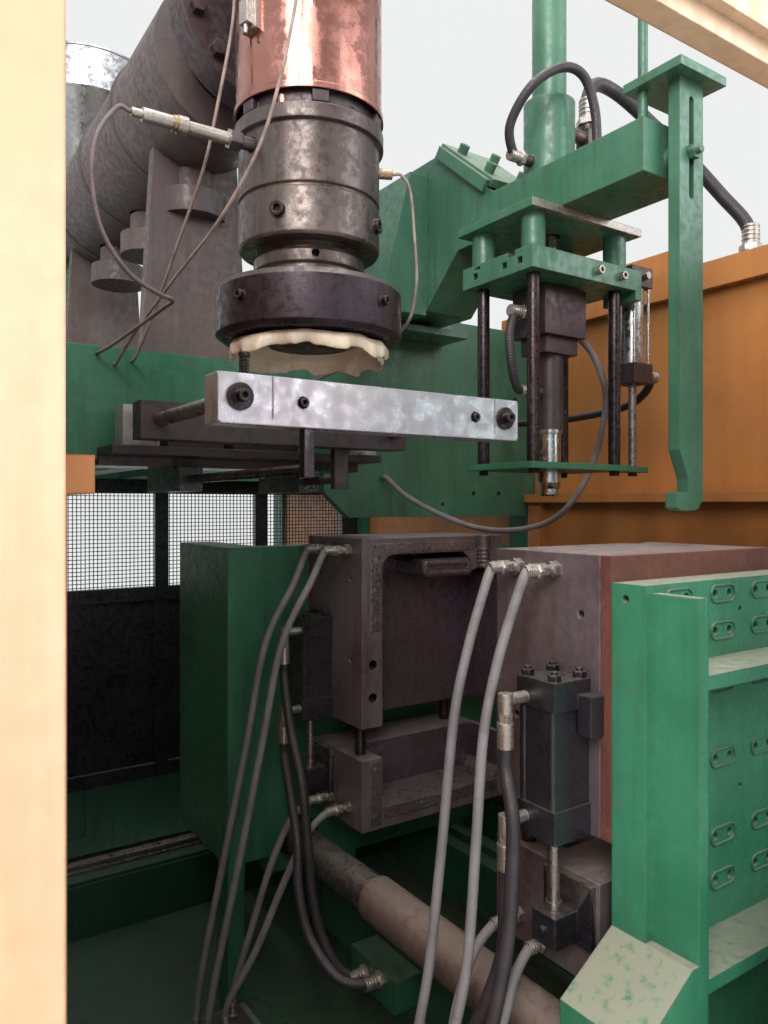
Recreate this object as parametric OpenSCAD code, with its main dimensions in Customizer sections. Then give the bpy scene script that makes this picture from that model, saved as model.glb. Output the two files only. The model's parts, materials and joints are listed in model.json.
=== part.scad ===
// Shuttle extrusion blow moulding machine for canisters, with the clamp open under the blow pin.
// X runs along the shuttle, Y along the extruder and the clamp, Z up from the floor.

/* [Machine frame] */
// Width over the side columns
frame_w = 2180; // [2140:10:2300]
// Length from the front guard to the rear of the oil unit
frame_l = 3846; // [3846:2:3900]
// Height of the base's rail beams
base_h = 400; // [390:5:410]
// Underside of the upper platform
platform_z = 1710; // [1700:5:1740]
// Depth of the platform's beams
platform_h = 270; // [240:5:280]
// Top of the front guard frame
guard_top = 2320; // [2300:5:2360]

/* [Clamp] */
// Width of the mould halves
mould_w = 500; // [480:5:510]
// Thickness of each mould half
mould_t = 297; // [290:1:300]
// Height of the upper mould blocks
mould_h = 505; // [495:5:510]
// Top of the moulds
mould_top = 1510; // [1500:5:1515]
// Distance from each mould face to the parting plane when open
half_gap = 263; // [258:1:268]
// Height of the lower mould blocks
lower_h = 190; // [180:5:195]
// Gap between upper and lower blocks when the lower block is down
lower_gap = 85; // [80:1:90]
// Thickness of the platen plates
platen_t = 70; // [60:5:72]
// Depth of the platen ribs
rib_d = 90; // [80:5:95]
// Diameter of the tie bars
tie_d = 94; // [86:2:96]

/* [Die head and extruder] */
// Height of the extruder's axis
screw_z = 2760; // [2740:5:2780]
// Outside diameter of the barrel cover
cover_d = 400; // [380:5:410]
// Outside diameter of the die ring
ring_d = 394; // [380:2:400]
// Outside diameter of the head body
head_d = 300; // [290:2:304]

/* [Blow unit] */
// Diameter of the blow pin's shaft
shaft_d = 74; // [68:1:76]
// Diameter of the guide rods
guide_d = 32; // [28:1:34]
// Width of the cantilever beam
beam_w = 178; // [170:2:180]

/* [Hoses] */
// Outside diameter of the water hoses
water_d = 19; // [16:1:20]
// Outside diameter of the oil hoses
oil_d = 25; // [20:1:26]

/* [Hidden] */
$fn = 48;

// Main planes and axes
frame_x = frame_w / 2;
col = 80;
front_y = -frame_l / 2;
rear_y = frame_l / 2;
// Underside of the front guard's top beam
header_z = 2226;
inner_x = frame_x - 90;
foot_x = frame_x - 45;
parting_y = -1023;
mould_x = 243;
mx0 = mould_x - mould_w / 2;
mx1 = mould_x + mould_w / 2;
near_face = parting_y - half_gap;
far_face = parting_y + half_gap;
near_back = near_face - mould_t;
far_back = far_face + mould_t;
head_x = -306;
pin_x = 417;
neck_x = pin_x;
upper_z = mould_top - mould_h;
lower_top = upper_z - lower_gap;
lower_z = lower_top - lower_h;
platform_top = platform_z + platform_h;
gap = 0.3;

// Tie bars: lower left, lower right, upper right, as [x, z]
tie_at = [[-40, 620], [690, 620], [690, 1330]];
sleeve_d = tie_d + 18;
clamp_z = 1120;

// Beams and rails of the base
front_beam_y = [-1640, -1500];
rear_beam_y = [90, 230];
rail_w = 34;
rail_h = 30;
rail_front_y = -1570;
rail_rear_y = 160;
bed_z = base_h + 60;
bed_t = 40;
bed_top = bed_z + bed_t;
foot_z = bed_top + 25;
platen_z = 540;
bed_x = [[40, 180], [470, 610]];

// Box between two values along each axis
module span(x, y, z) {
  translate([x[0], y[0], z[0]])
    cube([x[1] - x[0], y[1] - y[0], z[1] - z[0]]);
}

// Round bars along each axis, from one end to the other
module bar_x(x, y, z, d) {
  translate([x[0], y, z])
    rotate([0, 90, 0]) cylinder(h = x[1] - x[0], d = d);
}

module bar_y(x, y, z, d) {
  translate([x, y[0], z])
    rotate([-90, 0, 0]) cylinder(h = y[1] - y[0], d = d);
}

module bar_z(x, y, z, d) {
  translate([x, y, z[0]]) cylinder(h = z[1] - z[0], d = d);
}

// Hexagon head or nut standing on a face, along +Z
module hex(d, h) {
  cylinder(h = h, d = d, $fn = 6);
}

// Socket screw head along +Z, with its socket
module socket_head(d, h) {
  difference() {
    cylinder(h = h, d = d, $fn = 24);
    translate([0, 0, h * 0.45]) cylinder(h = h, d = d * 0.58, $fn = 6);
  }
}

// Plate in the XZ plane with rounded corners, from y = 0 to y = t
module round_plate(w, h, t, r) {
  translate([0, t, 0]) rotate([90, 0, 0]) linear_extrude(t) {
    difference() {
      square([w, h]);
      for (c = [[0, 0, 0], [w, 0, 90], [w, h, 180], [0, h, 270]])
        translate([c[0], c[1]]) rotate(c[2]) difference() {
          translate([-1, -1]) square(r + 1);
          translate([r, r]) circle(r);
        }
    }
  }
}

// Near half is the mirror image of the far half about the parting plane
module clamp_half(near) {
  translate([0, parting_y, 0])
    if (near) {
      mirror([0, 1, 0]) children();
    } else {
      children();
    }
}

// Smooth line through a hose's own points
function smooth(p, n) = [
  for (i = [0:len(p) - 2], k = [0:n - 1])
    let (
      t = k / n,
      a = i == 0 ? 2 * p[0] - p[1] : p[i - 1],
      b = p[i],
      c = p[i + 1],
      d = i == len(p) - 2 ? 2 * c - b : p[i + 2]
    )
    (2 * b + (c - a) * t + (2 * a - 5 * b + 4 * c - d) * t * t
      + (3 * b - a - 3 * c + d) * t * t * t) / 2,
  p[len(p) - 1]
];

function unit(v) = v / norm(v);

function heading(p, i) = unit(p[min(i + 1, len(p) - 1)] - p[max(i - 1, 0)]);

// Side direction of every ring, carried along the line so that the tube never twists
function carry(p, i, u) = i == len(p) ? [] :
  let (t = heading(p, i), v = unit(u - (u * t) * t))
  concat([v], carry(p, i + 1, v));

// Tube of diameter d along a line
module tube(p, d, sides = 8) {
  t0 = heading(p, 0);
  side = carry(p, 0, cross(t0, abs(t0[2]) < 0.9 ? [0, 0, 1] : [1, 0, 0]));
  rings = [
    for (i = [0:len(p) - 1])
      let (u = side[i], v = cross(heading(p, i), u))
      for (k = [0:sides - 1])
        p[i] + (u * cos(360 * k / sides) + v * sin(360 * k / sides)) * d / 2
  ];
  n = len(p);
  walls = [
    for (i = [0:n - 2], k = [0:sides - 1])
      let (j = (k + 1) % sides)
      [i * sides + k, (i + 1) * sides + k, (i + 1) * sides + j, i * sides + j]
  ];
  start_cap = [for (k = [0:sides - 1]) k];
  end_cap = [for (k = [0:sides - 1]) n * sides - 1 - k];
  polyhedron(points = rings, faces = concat(walls, [start_cap, end_cap]), convexity = 6);
}

// Base: two rail beams across the machine, side beams, cross member and levelling feet
module base_frame() {
  color([0.16, 0.36, 0.26]) {
    difference() {
      union() {
        span([-inner_x, inner_x], front_beam_y, [40, base_h]);
        span([-inner_x, inner_x], rear_beam_y, [40, base_h]);
        for (s = [-1, 1])
          span([s < 0 ? -frame_x : inner_x, s < 0 ? -inner_x : frame_x],
            [front_y, rear_y], [40, base_h]);
        span([-inner_x, inner_x], [rear_y - 140, rear_y], [40, base_h]);
        span([-inner_x, inner_x], [front_y, front_y + 80], [40, 160]);
      }
      for (x = [-foot_x, foot_x], y = [front_y + 123, rear_y - 123])
        bar_z(x, y, [39, 90], 22);
    }
    for (x = [-foot_x, foot_x], y = [front_y + 123, -100, rear_y - 123]) {
      difference() {
        bar_z(x, y, [0, 30], 84);
        if (y != -100)
          bar_z(x, y, [-1, 31], 22);
      }
      difference() {
        bar_z(x, y, [30, 40], 52);
        if (y != -100)
          bar_z(x, y, [29, 41], 22);
      }
    }
  }
}

// Cladding of the base's rear part and the sloping product chute under the moulds
module base_panels() {
  slope = 0.095;
  color([0.16, 0.36, 0.26]) {
    span([-1000, 1000], [rear_beam_y[0] - 6, rear_beam_y[0]], [170, base_h - 12]);
    translate([-998, 0, 0]) rotate([90, 0, 90]) linear_extrude(1996)
      polygon([
        [front_beam_y[1], 60],
        [rear_beam_y[0] - 6, 60 + slope * (rear_beam_y[0] - 6 - front_beam_y[1])],
        [rear_beam_y[0] - 6, 66 + slope * (rear_beam_y[0] - 6 - front_beam_y[1])],
        [front_beam_y[1], 66]
      ]);
  }
}

// Two ground rails for the shuttle
module shuttle_rails() {
  color([0.55, 0.55, 0.56]) for (y = [rail_front_y, rail_rear_y])
    difference() {
      span([-620, 740], [y - rail_w / 2, y + rail_w / 2], [base_h, base_h + rail_h]);
      for (s = [-1, 1])
        span([-621, 741], [y + s * rail_w / 2 - 4, y + s * rail_w / 2 + 4],
          [base_h + 10, base_h + 20]);
      for (x = [-580:160:700])
        bar_z(x, y, [base_h + rail_h - 12, base_h + rail_h + 1], 16);
    }
}

// Platform beams and the six columns that carry them
module upper_platform() {
  z = [platform_z, platform_top];
  front = -583;
  right_y = -353;
  side = frame_x - 120;
  color([0.17, 0.38, 0.27]) {
    difference() {
      union() {
        span([-frame_x, -side], [front, 1900], z);
        span([side, frame_x], [right_y, 1900], z);
        span([-side, 0], [front, front + 120], z);
        span([-120, 0], [front + 120, right_y], z);
        span([-side, side], [right_y, right_y + 120], z);
        span([-side, side], [820, 940], z);
        span([-side, side], [1780, 1900], z);
        for (x = [head_x - 170, head_x + 90])
          span([x, x + 80], [right_y + 120, 1780], z);
      }
      bar_y(-569, [front - 1, front + 121], 1784, 46);
      span([-frame_x + 12, -side - 12], [front + 12, 1888], [platform_z + 12, platform_top - 12]);
      span([side + 12, frame_x - 12], [right_y + 12, 1888], [platform_z + 12, platform_top - 12]);
    }
    for (p = [[-frame_x, front], [-frame_x, 820], [-frame_x, 1780], [frame_x - col, right_y],
        [frame_x - col, 820], [frame_x - col, 1780]])
      difference() {
        span([p[0], p[0] + col], [p[1], p[1] + 120], [base_h, platform_z]);
        span([p[0] + 8, p[0] + col - 8], [p[1] + 8, p[1] + 112], [base_h + 8, platform_z - 8]);
      }
  }
}

beam_x = [pin_x - 99, pin_x - 99 + beam_w];
beam_z = [2333, 2452];
beam_front = -1400;
hook_x = [377, 461];
hook_y = [-1449, -1420];
stud_x = (hook_x[0] + hook_x[1]) / 2;
stud_z = 2378;
upright_y = -610;

// Cross plate, upright and cantilever beam that carry the blow unit, with the raked guide strip
module blow_bracket() {
  color([0.25, 0.45, 0.37]) {
    difference() {
      translate([0, -353, 0]) rotate([90, 0, 0]) linear_extrude(30) difference() {
        polygon([[90, 1640], [180, 1560], [frame_x - col, 1560], [frame_x - col, 2240],
          [640, 2240], [640, 2333], [200, 2333], [90, 2140]]);
        for (c = [[150, 1700], [700, 1640], [820, 1640], [900, 1990], [560, 1600]])
          translate(c) circle(d = 18);
      }
    }
    // Shelf and lit strip under the upright
    span([150, 560], [-520, -383], [2150, 2170]);
    difference() {
      span([130, 560], [-430, -383], [2176, 2270]);
      bar_y(300, [-431, -382], 2225, 22);
    }
    // Upright box with the raked top edge
    difference() {
      translate([beam_x[0], 0, 0]) rotate([90, 0, 90]) linear_extrude(beam_w)
        polygon([[beam_front, beam_z[0]], [beam_front, beam_z[1]], [-910, beam_z[1]],
          [-684, 2640], [-383, 2640], [-383, 2190], [upright_y, 2190],
          [-760, beam_z[0]]]);
      bar_z(pin_x, parting_y, [beam_z[0] - 1, beam_z[1] + 1], 56);
    }
    // Boss, stud and nut for the hook bar, and the thin rod beside it
    bar_y(stud_x, [hook_y[1] + gap, beam_front], stud_z, 60);
    bar_y(stud_x, [hook_y[0] - 26, beam_front], stud_z, 16);
    translate([stud_x, hook_y[0] - gap, stud_z]) rotate([90, 0, 0]) hex(34, 14);
    bar_z(hook_x[0] - 12, -1362, [beam_z[1], 2700], 22);
    // Side cheek of the upright, tapered
    translate([0, upright_y, 0]) rotate([90, 0, 0]) mirror([0, 0, 1]) linear_extrude(227)
      polygon([[beam_x[0], 2176], [beam_x[0], 2600], [beam_x[0] - 60, 2600],
        [beam_x[0] - 170, 2176]]);
  }
  // Guide strip bolted along the rake
  color([0.62, 0.72, 0.66]) translate([beam_x[0] + beam_w * 0.5, -900, 2468]) rotate([39.5, 0, 0]) {
    translate([-beam_w / 2, 0, 0]) cube([beam_w, 290, 22]);
    for (c = [[-60, 70], [-60, 220], [60, 70], [60, 220]])
      translate([c[0], c[1], 22]) socket_head(30, 26);
    translate([-beam_w / 2 - 14, 10, -20]) cube([14, 270, 34]);
  }
}

guard_y = [front_y, front_y + 80];

// Beige front guard: posts, top rail, side returns and the fixed right panel's frame
module guard_frame() {
  color([0.80, 0.64, 0.47]) {
    for (x = [[-1050, -978], [978, 1050]])
      span(x, guard_y, [base_h, header_z]);
    difference() {
      span([-1050, 1050], guard_y, [header_z, guard_top]);
      for (x = [-900:300:900])
        bar_y(x, [front_y - 1, front_y + 30], 2300, 14);
    }
    span([-1050, -970], [front_y + 80, -583], [2240, guard_top]);
    span([970, 1050], [front_y + 80, -353], [2240, guard_top]);
    span([-1050, -970], [-583, -463], [platform_top, guard_top]);
    span([970, 1050], [-353, -233], [platform_top, guard_top]);
    bar_z(elbow_end[0], elbow_end[1], [guard_top, guard_top + 12], 64);
    // Door tracks along the front
    span([-978, 978], [front_y + 16, front_y + 50], [header_z - 30, header_z]);
    span([-978, 978], [front_y + 16, front_y + 50], [base_h, base_h + 20]);
  }
  // Fixed window behind the parked door
  color([0.80, 0.64, 0.47]) difference() {
    span([30, 978], [front_y + 50, front_y + 76], [520, header_z]);
    span([80, 928], [front_y + 49, front_y + 77], [620, 2150]);
  }
  color([0.55, 0.62, 0.62]) span([80, 928], [front_y + 60, front_y + 66], [620, 2150]);
  color([0.80, 0.64, 0.47]) span([-978, 978], [front_y + 50, front_y + 76], [base_h, 520]);
}

// Orange sheet guards on both sides, folded at the edges, with a ledge
module side_guards() {
  color([0.62, 0.36, 0.19]) {
    for (s = [-1, 1]) {
      back = s < 0 ? -583 : -383;
      rear = s < 0 ? -463 : -233;
      x0 = s < 0 ? -1009 : 1001;
      x1 = s < 0 ? -1040 : 1032;
      span([x0, x0 + 8], [front_y + 80, back], [base_h, 2240]);
      span([s < 0 ? -1001 : 940, s < 0 ? -940 : 1001], [front_y + 80, back - 4], [1609, 1640]);
      for (y = [front_y + 80, back - 64])
        span([s < 0 ? -1001 : 961, s < 0 ? -961 : 1001], [y, y + 60], [base_h, 1609]);
      span([x1, x1 + 8], [rear, 820], [base_h, platform_z]);
      span([x1, x1 + 8], [940, 1780], [base_h, platform_z]);
    }
    span([1001, 1009], [front_y + 900, -353], [guard_top, guard_top + 80]);
  }
}

// Mesh guard in a black frame behind the clamp
module rear_guard() {
  y = 905;
  pitch = 22;
  color([0.09, 0.09, 0.10]) {
    difference() {
      span([-1010, 1010], [y, y + 34], [base_h, platform_z]);
      for (i = [0:3])
        span([-940 + i * 480, -940 + i * 480 + 420], [y - 1, y + 35], [1240, 1650]);
      for (i = [0:1])
        span([-940 + i * 960, -940 + i * 960 + 900], [y - 1, y + 35], [base_h + 60, 1180]);
    }
    for (i = [0:1])
      span([-944 + i * 960, -36 + i * 960], [y + 14, y + 17], [base_h + 56, 1184]);
    // Wires of the mesh: uprights in front of level wires
    for (i = [0:3]) {
      x0 = -940 + i * 480;
      for (k = [1:6])
        span([x0 + k * 60 - 2, x0 + k * 60 + 2], [y + 13, y + 17], [1240, 1650]);
      for (k = [1:6])
        span([x0, x0 + 420], [y + 17, y + 20], [1240 + k * 58, 1243 + k * 58]);
    }
  }
}

// Oil tank with motor, pump and a valve stack, under the extruder at the back
module oil_unit() {
  tank_y = rear_y - 863;
  color([0.17, 0.38, 0.27]) {
    difference() {
      span([-700, 700], [tank_y, rear_y - 140], [60, 640]);
      span([-600, -300], [tank_y - 1, tank_y + 4], [140, 540]);
    }
    for (x = [-660, 600], y = [tank_y + 40, tank_y + 540])
      span([x, x + 60], [y, y + 60], [0, 60]);
    // Filler and valve stack
    bar_z(-560, tank_y + 500, [640, 700], 110);
    span([260, 560], [tank_y + 120, tank_y + 320], [640, 700]);
    for (k = [0:2])
      span([280 + k * 95, 350 + k * 95], [tank_y + 140, tank_y + 300], [700, 860]);
  }
  color([0.2, 0.3, 0.5]) {
    bar_x([-420, -60], tank_y + 360, 790, 260);
    for (x = [-380, -140])
      span([x, x + 50], [tank_y + 260, tank_y + 460], [640, 680]);
    bar_x([-60, -20], tank_y + 360, 790, 300);
    bar_x([-20, 120], tank_y + 360, 790, 150);
  }
}

// Flanged steel barrel that carries the screw
module barrel() {
  color([0.45, 0.40, 0.37]) difference() {
    union() {
      bar_y(head_x, [-781, -741], screw_z, 430);
      bar_y(head_x, [-741, -590], screw_z, 230);
      bar_y(head_x, [-590, 851], screw_z, 190);
    }
    bar_y(head_x, [-782, 852], screw_z, 91);
  }
  color([0.3, 0.3, 0.3]) for (a = [15:30:345])
    translate([head_x + 182 * cos(a), -741, screw_z + 182 * sin(a)])
      rotate([-90, 0, 0]) hex(36, 22);
}

// Cover shells over the heater zones, with fan housings below and two saddles
module barrel_cover() {
  color([0.42, 0.36, 0.34]) {
    difference() {
      bar_y(head_x, [-586, 800], screw_z, cover_d);
      bar_y(head_x, [-587, 801], screw_z, cover_d - 8);
      for (y = [-300, 100, 500])
        bar_z(head_x, y, [screw_z - cover_d, screw_z - cover_d / 4], 130);
    }
    for (y = [-586, 794])
      difference() {
        bar_y(head_x, [y, y + 6], screw_z, cover_d - 8);
        bar_y(head_x, [y - 1, y + 7], screw_z, y < 0 ? 230.6 : 190.6);
      }
    for (y = [-180, 220, 620])
      difference() {
        bar_y(head_x, [y, y + 8], screw_z, cover_d + 12);
        bar_y(head_x, [y - 1, y + 9], screw_z, cover_d);
      }
  }
  color([0.2, 0.2, 0.2]) for (y = [-300, 100, 500]) {
    bar_z(head_x, y, [screw_z - cover_d / 2 - 60, screw_z - cover_d / 2 + 4], 128);
    bar_z(head_x, y, [screw_z - cover_d / 2 - 130, screw_z - cover_d / 2 - 60], 190);
  }
  color([0.17, 0.38, 0.27]) for (y = [-340, 700])
    difference() {
      translate([head_x, y + 40, 0]) rotate([90, 0, 0]) linear_extrude(40)
        polygon([[-160, platform_top], [160, platform_top], [120, screw_z - 90],
          [-120, screw_z - 90]]);
      bar_y(head_x, [y - 1, y + 41], screw_z, cover_d);
    }
}

throat_y = 975;
hinge_y = 1252;
hinge_z = 3428;

// Feed throat housing and the hopper above it
module feed_hopper() {
  color([0.17, 0.38, 0.27]) difference() {
    union() {
      span([head_x - 130, head_x + 130], [851, 1101], [screw_z - 140, screw_z + 150]);
      span([head_x - 90, head_x + 90], [900, 1050], [platform_top, screw_z - 140]);
    }
    bar_y(head_x, [850, 1102], screw_z, 91);
    bar_z(head_x, throat_y, [screw_z, screw_z + 151], 100);
  }
  color([0.6, 0.62, 0.63]) translate([head_x, throat_y, screw_z + 150]) rotate_extrude()
    polygon([[50, 0], [110, 0], [110, 12], [54, 12], [54, 80], [270, 360], [270, 516],
      [266, 516], [266, 362], [50, 82]]);
  // Hinge lug with two ears and a pin for the lid
  color([0.6, 0.62, 0.63]) translate([head_x, 0, 0]) {
    span([-38, 38], [throat_y + 265, hinge_y + 10], [hinge_z - 48, hinge_z - 10]);
    for (x = [-38, 30])
      span([x, x + 8], [hinge_y - 5, hinge_y + 10], [hinge_z - 48, hinge_z + 8]);
    bar_x([-38, 38], hinge_y, hinge_z, 5.9);
  }
}

// Reduction gearbox behind the feed throat
module gearbox() {
  y = [1101, 1480];
  color([0.17, 0.38, 0.27]) {
    difference() {
      span([head_x - 210, head_x + 210], y, [platform_top, 3010]);
      bar_y(head_x, [y[0] - 1, y[0] + 200], screw_z, 122);
      for (s = [-1, 1])
        translate([head_x + s * 210, y[0] - 1, 3010]) rotate([-90, 45, 0])
          translate([-28, -28, 0]) cube([56, 56, 400]);
    }
    for (z = [2100, 2300, 2500])
      for (s = [-1, 1])
        span([head_x + (s < 0 ? -226 : 210), head_x + (s < 0 ? -210 : 226)],
          [y[0] + 40, y[1] - 40], [z, z + 12]);
  }
}

// Drive motor with cooling fins and terminal box
module drive_motor() {
  y0 = 1480;
  z = 2300;
  color([0.2, 0.3, 0.45]) {
    bar_y(head_x, [y0, y0 + 30], z, 350);
    difference() {
      bar_y(head_x, [y0 + 30, y0 + 330], z, 300);
      for (a = [0:20:340])
        translate([head_x, y0 + 40, z]) rotate([0, a, 0])
          translate([137, 0, -5]) cube([20, 270, 10]);
    }
    bar_y(head_x, [y0 + 330, y0 + 420], z, 310);
    span([head_x - 70, head_x + 70], [y0 + 80, y0 + 240], [z + 135, z + 200]);
    for (s = [-1, 1])
      span([head_x + s * 110 - 30, head_x + s * 110 + 30], [y0 + 60, y0 + 280],
        [platform_top, z - 100]);
  }
}

shield_z = [2408, 2980];

// Head body with the adapter from the barrel, inside the heater shield
module head_body() {
  color([0.40, 0.38, 0.37]) difference() {
    union() {
      bar_z(head_x, parting_y, [2384, 2960], head_d - 14);
      bar_z(head_x, parting_y, [2960, 3000], head_d + 20);
      bar_y(head_x, [parting_y, -821], screw_z, 150);
      bar_y(head_x, [-821, -781], screw_z, 430);
    }
    bar_z(head_x, parting_y, [2383, 3001], 60.1);
  }
  color([0.3, 0.3, 0.3]) for (a = [15:30:345])
    translate([head_x + 182 * cos(a), -821, screw_z + 182 * sin(a)])
      rotate([90, 0, 0]) hex(36, 22);
  // Ceramic heater blocks showing under the shield
  color([0.72, 0.55, 0.38]) for (a = [10:60:310])
    translate([head_x, parting_y, 2388]) rotate([0, 0, a])
      translate([head_d / 2 - 14, -16, 0]) cube([20, 32, 22]);
}

// Copper heater shield in two wrapped halves with two clamp latches
module copper_shield() {
  latch_a = 196;
  color([0.80, 0.50, 0.42]) difference() {
    bar_z(head_x, parting_y, [shield_z[0] + 6, 2960 - gap], head_d + 10);
    bar_z(head_x, parting_y, [shield_z[0], 2950], head_d + 6);
    bar_z(head_x, parting_y, [2949, 2961], head_d - 13.4);
    bar_y(head_x, [parting_y, -821], screw_z, 160);
  }
  color([0.80, 0.50, 0.42]) for (z = [shield_z[0] + 5, 2944])
    difference() {
      bar_z(head_x, parting_y, [z, z + 12], head_d + 18);
      bar_z(head_x, parting_y, [z - 1, z + 13], head_d + 8);
    }
  // Terminal blocks where the heater wires leave
  color([0.5, 0.45, 0.42]) for (a = [180, 237])
    translate([head_x, parting_y, 2680]) rotate([0, 0, a])
      translate([head_d / 2 + 4, -18, 0]) cube([26, 36, 44]);
  color([0.62, 0.60, 0.58]) for (z = [2540, 2735])
    translate([head_x, parting_y, z]) rotate([0, 0, latch_a]) {
      translate([head_d / 2 + 5, -20, 0]) cube([12, 40, 62]);
      translate([head_d / 2 + 17, -12, 8]) cube([14, 24, 46]);
      translate([head_d / 2 + 24, 0, -10]) cylinder(h = 82, d = 9, $fn = 16);
    }
}

ring_z = [1945, 2062];
sensor_z = 2322;
sensor_y = parting_y - 30;

// Lower head body: flanged drum with radial centring screws and a slimmer neck
module die_body() {
  r = head_d / 2;
  color([0.38, 0.34, 0.35]) difference() {
    translate([head_x, parting_y, 0]) rotate_extrude() polygon([
      [112, ring_z[1]], [112, 2084], [118, 2090], [118, 2112], [108, 2118], [108, 2132],
      [r - 4, 2132], [r, 2138], [r, 2224], [r - 5, 2227], [r - 5, 2232], [r, 2235],
      [r, 2352], [r + 9, 2356], [r + 9, 2384], [52, 2384], [52, 2112], [95, 2080],
      [95, ring_z[1]]
    ]);
    for (a = [248, 68])
      translate([head_x, parting_y, 2104]) rotate([0, 90, a])
        translate([0, 0, 90]) cylinder(h = 60, d = 16, $fn = 16);
    bar_x([head_x - r - 10, head_x - r + 14], sensor_y, sensor_z, 30);
  }
  // Plug of the thermocouple
  color([0.5, 0.45, 0.42]) translate([head_x, parting_y, 2320]) rotate([0, 90, -25])
    translate([0, 0, r - 3]) cylinder(h = 33, d = 22, $fn = 24);
  color([0.2, 0.18, 0.18]) for (a = [-52, 38, 128, 218])
    translate([head_x, parting_y, 2180]) rotate([0, 90, a + 0]) {
      translate([0, 0, r - 2]) difference() {
        cylinder(h = a == 38 ? 46 : 12, d = 30, $fn = 24);
        translate([0, 0, a == 38 ? 30 : 3]) cylinder(h = 20, d = 17, $fn = 6);
      }
    }
}

// Die ring with its clamping groove and centring screws
module die_ring() {
  r = ring_d / 2;
  color([0.30, 0.24, 0.27]) difference() {
    translate([head_x, parting_y, 0]) rotate_extrude() polygon([
      [105.5, ring_z[0] + 20], [150, ring_z[0]], [r - 14, ring_z[0]], [r, ring_z[0] + 10],
      [r, ring_z[1] - 20], [r - 8, ring_z[1] - 8], [118, ring_z[1] - gap],
      [105.5, ring_z[1] - gap]
    ]);
    for (a = [20, 110, 200, 290])
      translate([head_x, parting_y, ring_z[0] + 62]) rotate([0, 90, a])
        translate([0, 0, r - 40]) cylinder(h = 50, d = 20, $fn = 16);
  }
  color([0.12, 0.10, 0.11]) for (a = [20, 110, 200, 290])
    translate([head_x, parting_y, ring_z[0] + 62]) rotate([0, 90, a])
      translate([0, 0, r - 40]) difference() {
        cylinder(h = 52, d = 19.6, $fn = 24);
        translate([0, 0, 44]) cylinder(h = 10, d = 10, $fn = 6);
      }
}

// Mandrel that sets the die gap, on the rod of the cylinder above the head
module die_core() {
  color([0.33, 0.26, 0.24]) translate([head_x, parting_y, 0]) {
    rotate_extrude() polygon([
      [0, 1938], [86, 1938], [90, 1944], [90, 1985], [84, 2040], [50, 2100], [30, 2130],
      [30, 3040], [20, 3044], [20, 3240], [0, 3240]
    ]);
  }
}

// Parison control cylinder on a yoke above the head
module head_cylinder() {
  color([0.17, 0.38, 0.27]) {
    difference() {
      span([head_x - 130, head_x + 130], [parting_y - 90, parting_y + 90], [3120, 3150]);
      bar_z(head_x, parting_y, [3119, 3151], 40.1);
    }
    for (s = [-1, 1])
      span([head_x + s * 118 - 12, head_x + s * 118 + 12], [parting_y - 90, parting_y + 90],
        [3000, 3120]);
  }
  color([0.35, 0.36, 0.38]) difference() {
    union() {
      bar_z(head_x, parting_y, [3150, 3190], 170);
      bar_z(head_x, parting_y, [3190, 3330], 140);
      bar_z(head_x, parting_y, [3330, 3370], 170);
      span([head_x + 60, head_x + 120], [parting_y - 40, parting_y + 40], [3200, 3320]);
    }
    bar_z(head_x, parting_y, [3149, 3290], 40.1);
  }
}

// Melt pressure sensor screwed into the head from the left
module melt_sensor() {
  x0 = head_x - head_d / 2;
  color([0.25, 0.22, 0.22]) {
    bar_x([x0 - 46, x0 + 14 - gap], sensor_y, sensor_z, 26);
    translate([x0 - 46, sensor_y, sensor_z]) rotate([0, 90, 0]) hex(40, 24);
  }
  color([0.55, 0.53, 0.52]) {
    bar_x([x0 - 130, x0 - 46], sensor_y, sensor_z, 24);
    bar_x([x0 - 150, x0 - 130], sensor_y, sensor_z, 34);
  }
  color([0.7, 0.6, 0.35]) bar_x([x0 - 158, x0 - 150], sensor_y, sensor_z, 30);
  color([0.45, 0.45, 0.45]) {
    bar_x([x0 - 215, x0 - 158], sensor_y, sensor_z, 26);
    bar_x([x0 - 235, x0 - 215], sensor_y, sensor_z, 16);
  }
}

pinch_z = [1738, 1824];
pinch_rod_z = 1784;
pinch_rod_x = [-569, 33];
pinch_d = 30;

// Bearing blocks for the pinch rods on a plate under the platform, with two small cylinders
module pinch_mount() {
  color([0.55, 0.53, 0.54]) for (x = pinch_rod_x)
    difference() {
      span([x - 42, x + 42], [-700, -630], [1736, 1830]);
      bar_y(x, [-701, -629], pinch_rod_z, pinch_d + 0.1);
    }
  color([0.16, 0.15, 0.16]) {
    span([-640, 80], [-720, -583], [1716, 1736]);
    span([-500, -360], [-680, -600], [1736, 1840]);
    span([-340, -160], [-690, -610], [1736, 1850]);
    span([-640, 80], [-583, -470], [1694, 1710]);
    span([-640, 80], [-600, -583], [1694, 1716]);
    // Cylinder barrels under the plate
    for (x = [-430, -100])
      difference() {
        span([x - 30, x + 30], [-640, -380], [1634, 1694]);
        bar_y(x, [-641, -392], 1664, 21);
      }
  }
}

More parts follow.
